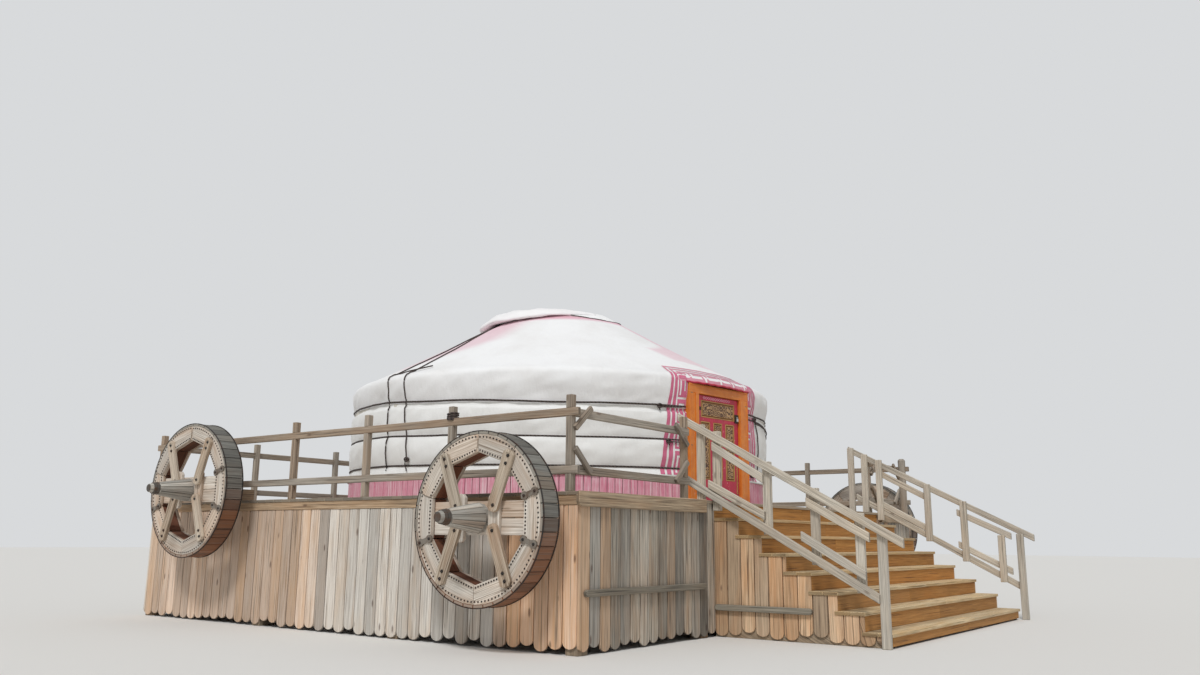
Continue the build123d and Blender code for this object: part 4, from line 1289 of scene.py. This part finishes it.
# Directions are in degrees round the tent, and heights in metres over the deck
ties = dict(
    # Directions at the top, eave and foot, and the foot's height
    routes=((149.0, 172.0, 173.0, 0.40), (150.5, 178.5, 180.5, 0.50), (-40.0, -38.0, -38.0, 0.40),
            (-42.0, -44.0, -44.0, 0.40), (60.0, 58.0, 58.0, 0.40), (62.0, 64.0, 64.0, 0.40)),
    # Doubled ends tied off beside the door, and the end that hangs down from the drawn rope
    doubled=(((-117.9, 1.160), (-111.3, 1.178)), ((-115.8, 0.742), (-111.3, 0.748))),
    drawn=(-81, -74, -66, -58, -50, -42, -34), drawnBelow=0.03,
    hanging=((-81.3, 1.16), (-80.2, 1.02), (-79.2, 0.70), (-78.8, 0.43)),
    # A rope's end laid across both ropes at the left eave: direction and distance from the middle
    across=((167.5, 2.955), (172.5, 2.93), (178.5, 2.87), (184.0, 2.76)),
    # Direction, height and steps of the tail
    knots=((180.5, 0.52, 6), (-117.6, 1.172, 3), (-115.4, 0.752, 3), (-81.3, 1.165, 4), (-83.0, 0.42, 3)),
    knotSize=0.022, knotTurns=3, tailStep=0.028, route=0.75, thin=0.8, tail=0.7)

# Round a side post, under its cap
lashing = dict(place=(0.063, 1.663), low=0.74, pitch=0.019, turns=4, reach=0.042, radius=0.010)


def tieKnot(bm, i, degrees, z, tailSteps):
    angle = tentAngle(degrees)
    centre = toWorld @ wallPoint(angle, z, 0.014)
    outward = (toWorld.to_3x3() @ Vector((math.cos(angle), math.sin(angle), 0))).normalized()
    knot = knotLoop(centre, outward, ties["knotSize"], ties["knotTurns"], i)
    ropeTube(bm, knot, ropes["radius"] * ties["thin"])
    side = outward.cross(Vector((0, 0, 1)))
    tail = [centre + outward * 0.02]
    for k in range(1, tailSteps):
        sway = side * 0.012 * math.sin(k * 0.9 + i)
        drop = Vector((0, 0, ties["tailStep"] * k))
        tail.append(centre + outward * (0.02 + 0.004 * math.sin(k)) - drop + sway)
    ropeTube(bm, tail, ropes["radius"] * ties["tail"])


def postLashing(bm):
    post = Vector((leftX + lashing["place"][0], frontY + lashing["place"][1], deckTop))
    reach = lashing["reach"]
    for k in range(lashing["turns"]):
        z = lashing["low"] + lashing["pitch"] * k
        loop = []
        for j in range(25):
            turn = 2 * math.pi * j / 24
            out = min(reach / max(abs(math.cos(turn)), abs(math.sin(turn))), reach * 1.25)
            loop.append(post + Vector((out * math.cos(turn), out * math.sin(turn),
                                       z + 0.006 * math.sin(turn + k))))
        ropeTube(bm, loop, lashing["radius"])


def tieRopes():
    bm = bmesh.new()
    for route in ties["routes"]:
        ropeTube(bm, downPath(*route), ropes["radius"] * ties["route"])
    thin = ropes["radius"] * ties["thin"]
    drawn = [(d, ropeHeight(1, tentAngle(d)) - ties["drawnBelow"]) for d in ties["drawn"]]
    for spots in (*ties["doubled"], drawn, ties["hanging"]):
        ropeTube(bm, steppedPath(spots, 24, lambda d, z: wallPoint(tentAngle(d), z, thin * 2.2)), thin)
    laid = steppedPath(ties["across"], 10, lambda d, r: roofPoint(
        tentAngle(d), min(r, tent["radius"] - 0.07), roofHeight(r), ropes["radius"] * 2.4))
    ropeTube(bm, laid, thin)
    for i, knot in enumerate(ties["knots"]):
        tieKnot(bm, i, *knot)
    postLashing(bm)
    faceOut(bm)
    return addPiece(bm, "tieRopes", "yurt", "hairRope")


tieRopes()
print("ropes made")


# Crown: the felt lid over the smoke ring, with one side folded back in a thick roll

crownLid = dict(radius=0.96, rise=0.035, thick=0.016)


def lidPoint(angle, r, lift=0.0):
    corner = 1 + 0.05 * math.cos(4 * angle + 0.6)
    r2 = r * corner
    if r2 > tent["crown"]:
        base = roofPoint(angle, r2, roofHeight(r2)).z + 0.020
    else:
        base = roofHeight(tent["crown"]) + 0.020 + crownLid["rise"] * smoothStep(tent["crown"], 0.1, r2)
    folds = noise.noise(Vector((math.cos(angle) * 3, math.sin(angle) * 3, r * 2))) * 0.014
    droop = -0.012 * smoothStep(crownLid["radius"] * 0.94, crownLid["radius"] * 1.05, r2)
    return Vector((r2 * math.cos(angle), r2 * math.sin(angle), base + abs(folds) + droop + lift))


def buildLid(bm):
    rows = 22
    profile = [(0.02 + (crownLid["radius"] - 0.02) * i / rows, 0.0) for i in range(rows + 1)]
    spunProfile(bm, profile, 0, 2 * math.pi, 96)
    bmesh.ops.remove_doubles(bm, verts=bm.verts, dist=0.0005)
    for vert in bm.verts:
        vert.co = lidPoint(math.atan2(vert.co.y, vert.co.x), math.hypot(vert.co.x, vert.co.y))
    rim = [e for e in bm.edges if e.is_boundary and (e.verts[0].co.xy.length < 0.1)]
    bmesh.ops.holes_fill(bm, edges=rim, sides=0)


lid = spunSheet("crownLid", buildLid, "crownCanvas", ["crown_cover"], crownLid["thick"])

flap = dict(middle=141.0, sweep=225.0, radius=0.84, out=0.21, wide=0.17, high=0.070, thinWide=0.035,
            thinHigh=0.016)


def flapRoll():
    # The part folded back: a lumpy roll, thick on the far left, that thins out to both ends
    bm = bmesh.new()
    ring = bmesh.ops.create_circle(bm, cap_ends=False, radius=1.0, segments=22)
    verts = ring["verts"]
    far = 5
    middle = tentAngle(flap["middle"])
    sweep = math.radians(flap["sweep"])
    bmesh.ops.rotate(bm, verts=verts, cent=(0, 0, 0), matrix=Matrix.Rotation(math.pi / 2, 3, "X"))
    bmesh.ops.translate(bm, verts=verts, vec=(far, 0, 0))
    bmesh.ops.rotate(bm, verts=verts, cent=(0, 0, 0), matrix=Matrix.Rotation(middle - sweep / 2, 3, "Z"))
    edges = list({e for v in verts for e in v.link_edges})
    bmesh.ops.spin(bm, geom=verts + edges, cent=(0, 0, 0), axis=(0, 0, 1), dvec=(0, 0, 0), angle=sweep,
                   steps=110, use_merge=False)
    for vert in bm.verts:
        angle = math.atan2(vert.co.y, vert.co.x)
        off = (angle - middle + math.pi) % (2 * math.pi) - math.pi
        share = max(0.0, math.cos(math.pi / 2 * off / (sweep / 2))) ** 1.4
        across = vert.co.xy.length - far
        up = vert.co.z
        wide = flap["thinWide"] + (flap["wide"] - flap["thinWide"]) * share
        high = flap["thinHigh"] + (flap["high"] - flap["thinHigh"]) * share
        folds = noise.noise(Vector((off * 4.5, across * 1.2, up * 1.2))) * 0.42
        creases = noise.noise(Vector((off * 15, across * 2.5, up * 2.5))) * 0.16
        r = flap["radius"] + flap["out"] * share + across * wide * (1 + folds * 0.4)
        seat = roofHeight(max(r, tent["crown"])) + 0.010 + 0.006 * share
        z = seat + high + up * high * (1 + folds + creases)
        vert.co = Vector((r * math.cos(angle), r * math.sin(angle), z))
    bmesh.ops.holes_fill(bm, edges=[e for e in bm.edges if e.is_boundary], sides=0)
    faceOut(bm)
    bmesh.ops.transform(bm, matrix=toWorld, verts=bm.verts)
    piece = addPiece(bm, "flapRoll", "yurt", "crownCanvas")
    for poly in piece.data.polygons:
        poly.use_smooth = True
    giveTint(piece, lambda local: 0.03)
    return piece


roll = flapRoll()


def crownCord():
    # A dark cord sewn along the lid's edge
    bm = bmesh.new()
    steps = 120
    r = crownLid["radius"] + 0.002
    path = [toWorld @ lidPoint(2 * math.pi * k / steps, r, 0.004) for k in range(steps + 1)]
    ropeTube(bm, path, 0.006)
    return addPiece(bm, "crownCord", "yurt", "hairRope")


crownCord()
print("crown made")


# Pink bands round the door: a key border sewn on the canvas, a common pattern on such tents

# Distances across the border in cells, counted from its outer edge; the key part is pink with a white line
keyBand = dict(columns=12, topRows=9, lift=0.004, cell=0.026, foot=0.967, lean=0.12, eaveLean=0.30,
               topY=2.645)


def keyPattern(fromEdge, along):
    if fromEdge in (2, 5):
        return False
    if fromEdge < 6:
        return True
    step = along % 12
    line = fromEdge - 6
    if step in (0, 11):
        return step == 0
    if line == 1:
        return step > 8
    if step == 8:
        return line not in (1, 2, 3, 4)
    if line == 4:
        return not 3 <= step <= 8
    return True


keyTile = ("########", "#.......", "#.#####.", "#.....#.", "#######.")


def topPattern(fromEdge, along):
    # Two thin lines, then a key pattern of single lines on white
    if fromEdge < 4:
        return fromEdge in (0, 2)
    return keyTile[fromEdge - 4][along % 8] == "#"


def outerEdge(path):
    # Half width of the border at this distance up from the foot
    wallPath = tent["eave"] - tent["base"]
    if path < wallPath:
        return keyBand["foot"] - keyBand["lean"] * path
    return keyBand["foot"] - keyBand["lean"] * wallPath - keyBand["eaveLean"] * (path - wallPath)


def bandPatch(bm, columns, rows, isInked, toPoint):
    made = bmesh.ops.create_grid(bm, x_segments=columns, y_segments=rows, size=0.5)
    faces = list({f for v in made["verts"] for f in v.link_faces})
    blank = []
    for face in faces:
        centre = face.calc_center_median()
        column = int((centre.x + 0.5) * columns)
        row = int((centre.y + 0.5) * rows)
        if not isInked(column, row):
            blank.append(face)
    bmesh.ops.delete(bm, geom=blank, context="FACES")
    for vert in made["verts"]:
        if vert.is_valid:
            vert.co = toPoint(vert.co.x + 0.5, vert.co.y + 0.5)


def sideBands(bm):
    inner = tent["doorHalf"] + 0.006
    low = tent["base"] + 0.006
    for side in (-1, 1):
        def angleAt(u, path, r):
            half = inner + (outerEdge(path) - inner) * (1 - u)
            return -math.pi / 2 + side * math.asin(half / r)

        hem = hemBottom(angleAt(0.5, 0.8, tent["radius"]))
        rows = round((hem - low) / keyBand["cell"])
        bandPatch(bm, keyBand["columns"], rows, keyPattern,
                  lambda u, v: wallPoint(angleAt(u, (hem - low) * v, tent["radius"] + 0.03),
                                         low + (hem - low - 0.004) * v, keyBand["lift"]))
        # From the hem up over the eave, as far as the border that runs across
        profile = list(reversed(roofProfile(hem + 0.004)))
        track = [(r, z) for r, z in profile if r > tent["radius"] - 0.04]
        rows = round(lengthOf(track) / keyBand["cell"])
        shiftRows = round((hem - low) / keyBand["cell"])

        def overEave(u, v):
            r, z = alongTrack(track, v)
            path = hem - low + lengthOf(track) * v
            return roofPoint(angleAt(u, path, r), r, z, keyBand["lift"])

        bandPatch(bm, keyBand["columns"], rows, lambda c, r: keyPattern(c, r + shiftRows), overEave)


def topBand(bm):
    # Across the slope over the door, with mitred corners where it meets the side borders
    profile = list(reversed(roofProfile(tent["frameHigh"] + 0.012)))
    reach = tent["radius"] + 0.03 - keyBand["topY"]
    track = [(r, z) for r, z in profile if r > keyBand["topY"]]
    eavePath = tent["eave"] - tent["base"]
    columns = 2 * 24
    rows = keyBand["topRows"]

    def place(u, v):
        r, z = alongTrack(track, v)
        half = outerEdge(eavePath + reach * v)
        x = (2 * u - 1) * half
        return roofPoint(-math.pi / 2 + math.asin(x / tent["radius"]) * (1 + 0.06 * v), r, z, keyBand["lift"])

    def inked(column, row):
        fromTop = rows - 1 - row
        away = min(column, columns - 1 - column)
        return topPattern(min(fromTop, away), column if fromTop <= away else row)

    bandPatch(bm, columns, rows, inked, place)


def doorBands():
    borders = []
    for name, build, materialName in (("sideBorders", sideBands, "pinkCloth"),
                                      ("topBorder", topBand, "fadedPink")):
        bm = bmesh.new()
        build(bm)
        faceOut(bm)
        bmesh.ops.transform(bm, matrix=toWorld, verts=bm.verts)
        loose = [v for v in bm.verts if not v.link_faces]
        bmesh.ops.delete(bm, geom=loose, context="VERTS")
        borders.append(addPiece(bm, name, "yurt", materialName))
    return borders


def hemPiping():
    # The thick crimson edge of the cover over the door
    bm = bmesh.new()
    steps = 60
    half = doorAngle(tent["radius"] + 0.03) + 0.006
    profile = roofProfile(tent["frameHigh"] + 0.004)
    r, z = profile[-1]
    path = []
    for k in range(steps + 1):
        angle = -math.pi / 2 - half + 2 * half * k / steps
        wave = 0.003 * math.sin(k * 0.9)
        path.append(toWorld @ roofPoint(angle, r, z + wave, 0.006))
    ropeTube(bm, path, 0.013)
    return addPiece(bm, "hemPiping", "yurt", "crimsonPaint")


def lengthOf(track):
    return sum(math.hypot(b[0] - a[0], b[1] - a[1]) for a, b in zip(track, track[1:]))


def alongTrack(track, share):
    left = lengthOf(track) * share
    for a, b in zip(track, track[1:]):
        part = math.hypot(b[0] - a[0], b[1] - a[1])
        if left <= part:
            return (a[0] + (b[0] - a[0]) * left / part, a[1] + (b[1] - a[1]) * left / part)
        left -= part
    return track[-1]


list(doorBands())
hemPiping()
print("bands made")


# Door: gilded panels, painted plaits, beads and nicks of the frame, and the padlock on the hasp

door = dict(frameY=-(tent["radius"] ** 2 - tent["doorHalf"] ** 2) ** 0.5 - 0.09, leafHalf=0.414,
            leafLow=0.106, leafHigh=1.362, jamb=0.18, lintel=0.12, panelDepth=0.008)
door["leafY"] = door["frameY"] + 0.03
panelSpans = ((0.09, 0.91, 0.78, 0.95), (0.08, 0.30, 0.17, 0.74), (0.385, 0.595, 0.17, 0.74),
              (0.68, 0.90, 0.17, 0.74))


def addBox(bm, low, high):
    addCube(bm, low, high, toWorld)


def panelBoxes():
    width = 2 * door["leafHalf"]
    height = door["leafHigh"] - door["leafLow"]
    for a, b, low, high in panelSpans:
        yield (-door["leafHalf"] + a * width, -door["leafHalf"] + b * width,
               door["leafLow"] + low * height, door["leafLow"] + high * height)


def doorPanels():
    fields = bmesh.new()
    grounds = bmesh.new()
    borders = bmesh.new()
    face = door["leafY"] + door["panelDepth"]
    edge = 0.014
    for x0, x1, z0, z1 in panelBoxes():
        addBox(grounds, (x0 + edge, face - 0.003, z0 + edge), (x1 - edge, face + 0.001, z1 - edge))
        inset = edge + 0.013
        addBox(fields, (x0 + inset, face - 0.007, z0 + inset), (x1 - inset, face - 0.001, z1 - inset))
        for off, line, proud in ((0.0, edge, 0.009), (inset, 0.005, 0.010)):
            a, b, c, d = x0 + off, x1 - off, z0 + off, z1 - off
            for low, high in (((a, c), (b, c + line)), ((a, d - line), (b, d)),
                              ((a, c + line), (a + line, d - line)), ((b - line, c + line), (b, d - line))):
                addBox(borders, (low[0], face - proud, low[1]), (high[0], face + 0.001, high[1]))
    softenEdges(borders, 0.002)
    giveGrain(borders, 61)
    giveGrain(fields, 62)
    giveGrain(grounds, 63)
    addPiece(grounds, "panelGrounds", "door", "liningBoards")
    addPiece(fields, "panelFields", "door", "carvedGilt")
    addPiece(borders, "panelBorders", "door", "goldPaint")


# Start and end in the door's face, turns, width and material
plaits = dict(topPlait=((-0.30, 1.331), (0.24, 1.331), 12, 0.013, "pinkOrnament"),
              sidePlait=((0.374, 0.16), (0.374, 0.62), 10, 0.010, "goldPaint"))
plaitStrand = dict(radius=0.0045, deep=0.001)


def plait(bm, start, end, turns, width):
    # Two strands that cross and cross again
    steps = turns * 8
    side = (end - start).normalized().cross(Vector((0, 1, 0)))
    for phase in (0, math.pi):
        path = []
        for k in range(steps + 1):
            share = k / steps
            wave = math.sin(share * turns * math.pi + phase) * width
            deep = Vector((0, -plaitStrand["deep"] * math.cos(share * turns * math.pi), 0))
            path.append(toWorld @ (start.lerp(end, share) + side * wave + deep))
        ropeTube(bm, path, plaitStrand["radius"])


def doorPaint():
    y = door["leafY"] - 0.001
    for name, (start, end, turns, width, materialName) in plaits.items():
        bm = bmesh.new()
        plait(bm, Vector((start[0], y, start[1])), Vector((end[0], y, end[1])), turns, width)
        faceOut(bm)
        addPiece(bm, name, "door", materialName)


# Beads: distance from the frame's edge, width and how far proud; nicks: cuts in the frame, drawn as flat
# patches of bare wood whose darker colour is partly the wood and partly painted shade for the hollow of the
# cut
trim = dict(beads=((0.016, 0.012, 0.006), (door["jamb"] - 0.036, 0.062, 0.012)), topBead=(0.026, 0.016),
            nicks=((-0.555, tent["frameHigh"] - door["lintel"]), (-0.565, 0.72), (0.555, 1.30),
                   (-0.43, 1.05)),
            nickHalf=(0.022, 0.004))


def frameTrim():
    beads = bmesh.new()
    nicks = bmesh.new()
    y = door["frameY"]
    half = tent["doorHalf"]
    top = tent["frameHigh"] - door["lintel"]
    for side in (-1, 1):
        for off, width, proud in trim["beads"]:
            x = side * (half - off)
            addBox(beads, (x - width / 2, y - proud, 0.0), (x + width / 2, y + 0.002, top))
    low, high = [tent["frameHigh"] - down for down in trim["topBead"]]
    addBox(beads, (-half + 0.02, y - 0.006, low), (half - 0.02, y + 0.002, high))
    # Nicks are flat boxes standing a little proud, not hollows: their dark bare-wood colour is painted shade
    # for the inside of each cut
    wide, tall = trim["nickHalf"]
    for x, z in trim["nicks"]:
        addBox(nicks, (x - wide, y - 0.002, z - tall), (x + wide, y + 0.004, z + tall))
    softenEdges(beads, 0.002)
    for bm, name, slotName, materialName in ((beads, "frameBeads", "paint_orange", "orangePaint"),
                                             (nicks, "frameNicks", "paint_orange", "roughTimber")):
        giveGrain(bm, len(name))
        addPiece(bm, name, "yurt", materialName)


lock = dict(x=0.375, down=0.368, out=0.012, half=0.016, thick=0.018, low=0.034, high=0.006, arch=0.011,
            archHigh=0.02, wire=0.003)


def padlock():
    x = lock["x"]
    y = door["leafY"] - lock["out"]
    z = tent["frameHigh"] - lock["down"]
    bm = bmesh.new()
    addBox(bm, (x - lock["half"], y - lock["thick"], z - lock["low"]),
           (x + lock["half"], y - 0.001, z + lock["high"]))
    softenEdges(bm, 0.004, 2)
    arch = []
    for k in range(13):
        turn = math.pi * k / 12
        arch.append(toWorld @ Vector((x + lock["arch"] * math.cos(turn), y - lock["thick"] / 2,
                                      z + lock["high"] + lock["archHigh"] * math.sin(turn))))
    ropeTube(bm, arch, lock["wire"])
    return addPiece(bm, "padlock", "door", "brightIron")


doorPanels()
doorPaint()
frameTrim()
padlock()
print("door dressed")


# Base boards: upright pickets round the foot of the tent, pink paint worn to white

pickets = dict(width=0.094, gap=0.007, thick=0.016)


def basePickets():
    luck = random.Random(8)
    bm = bmesh.new()
    r = tent["radius"]
    gap = doorAngle(r + 0.02) + 0.002
    around = (2 * math.pi - 2 * gap) * r
    count = round(around / pickets["width"])
    for i in range(count):
        angle = -math.pi / 2 + gap + (i + 0.5) * (2 * math.pi - 2 * gap) / count
        high = tent["base"] - luck.uniform(0, 0.006)
        low = r + 0.001 + luck.uniform(0, 0.002)
        half = (around / count - pickets["gap"]) / 2
        addCube(bm, (low, -half, 0), (low + pickets["thick"], half, high),
                toWorld @ Matrix.Rotation(angle, 4, "Z"))
    softenEdges(bm, 0.002)
    giveGrain(bm, 8, (0, 0, 1))
    return addPiece(bm, "basePickets", "yurt", "pinkPaint", ["base_boards"])


basePickets()
print("pickets made")


# Floor, light and camera

def addStage():
    bpy.ops.mesh.primitive_plane_add(size=160, location=(0, 0, 0))
    floor = bpy.context.object
    floor.name = "studioFloor"
    material, tree = newMaterial("paleFloor")
    shader = tree.nodes["Principled BSDF"]
    shader.inputs["Base Color"].default_value = toLinear("#dedcd8")
    shader.inputs["Roughness"].default_value = 0.95
    floor.data.materials.append(material)


studio = dict(world=0.53, seen=0.76, sun=1.75, sunAngle=12, sunTurn=(38, -12, -52))


def addLight():
    world = bpy.data.worlds.new("studio")
    bpy.context.scene.world = world
    world.use_nodes = True
    tree = world.node_tree
    # The background is brighter to the camera, in mirrors and through glass than it lights
    seen = 0.0
    for ray in ("Is Camera Ray", "Is Glossy Ray", "Is Transmission Ray"):
        path = addNode(tree, "LightPath", {}, ray)
        seen = addNode(tree, "Math", {0: seen, 1: path}, operation="MAXIMUM")
    strength = addNode(tree, "MapRange", {0: seen, 3: studio["world"], 4: studio["seen"]})
    tree.nodes["Background"].inputs[0].default_value = toLinear("#f4f6f8")
    tree.links.new(strength, tree.nodes["Background"].inputs[1])
    sun = bpy.data.lights.new("keyLight", "SUN")
    sun.energy = studio["sun"]
    sun.angle = math.radians(studio["sunAngle"])
    lamp = bpy.data.objects.new("keyLight", sun)
    bpy.context.collection.objects.link(lamp)
    lamp.rotation_euler = [math.radians(turn) for turn in studio["sunTurn"]]


viewpoint = dict(lens=29.09, sensor=36.0, fromDeckCorner=(-6.828, -5.2303, -0.425),
                 forward=(0.7879, 0.5808, 0.2046), right=(0.5920, -0.8059, 0.0082))


def addCamera():
    data = bpy.data.cameras.new("photoView")
    camera = bpy.data.objects.new("photoView", data)
    bpy.context.collection.objects.link(camera)
    data.lens = viewpoint["lens"]
    data.sensor_width = viewpoint["sensor"]
    forward = Vector(viewpoint["forward"]).normalized()
    right = Vector(viewpoint["right"])
    right = (right - forward * right.dot(forward)).normalized()
    up = right.cross(forward)
    corner = Vector((leftX, frontY, deckTop))
    place = corner + Vector(viewpoint["fromDeckCorner"])
    turn = Matrix((right, up, -forward)).transposed().to_4x4()
    camera.matrix_world = Matrix.Translation(place) @ turn
    bpy.context.scene.camera = camera


addStage()
addLight()
addCamera()
bpy.context.scene.view_settings.view_transform = "Standard"
print("stage, light and camera set")
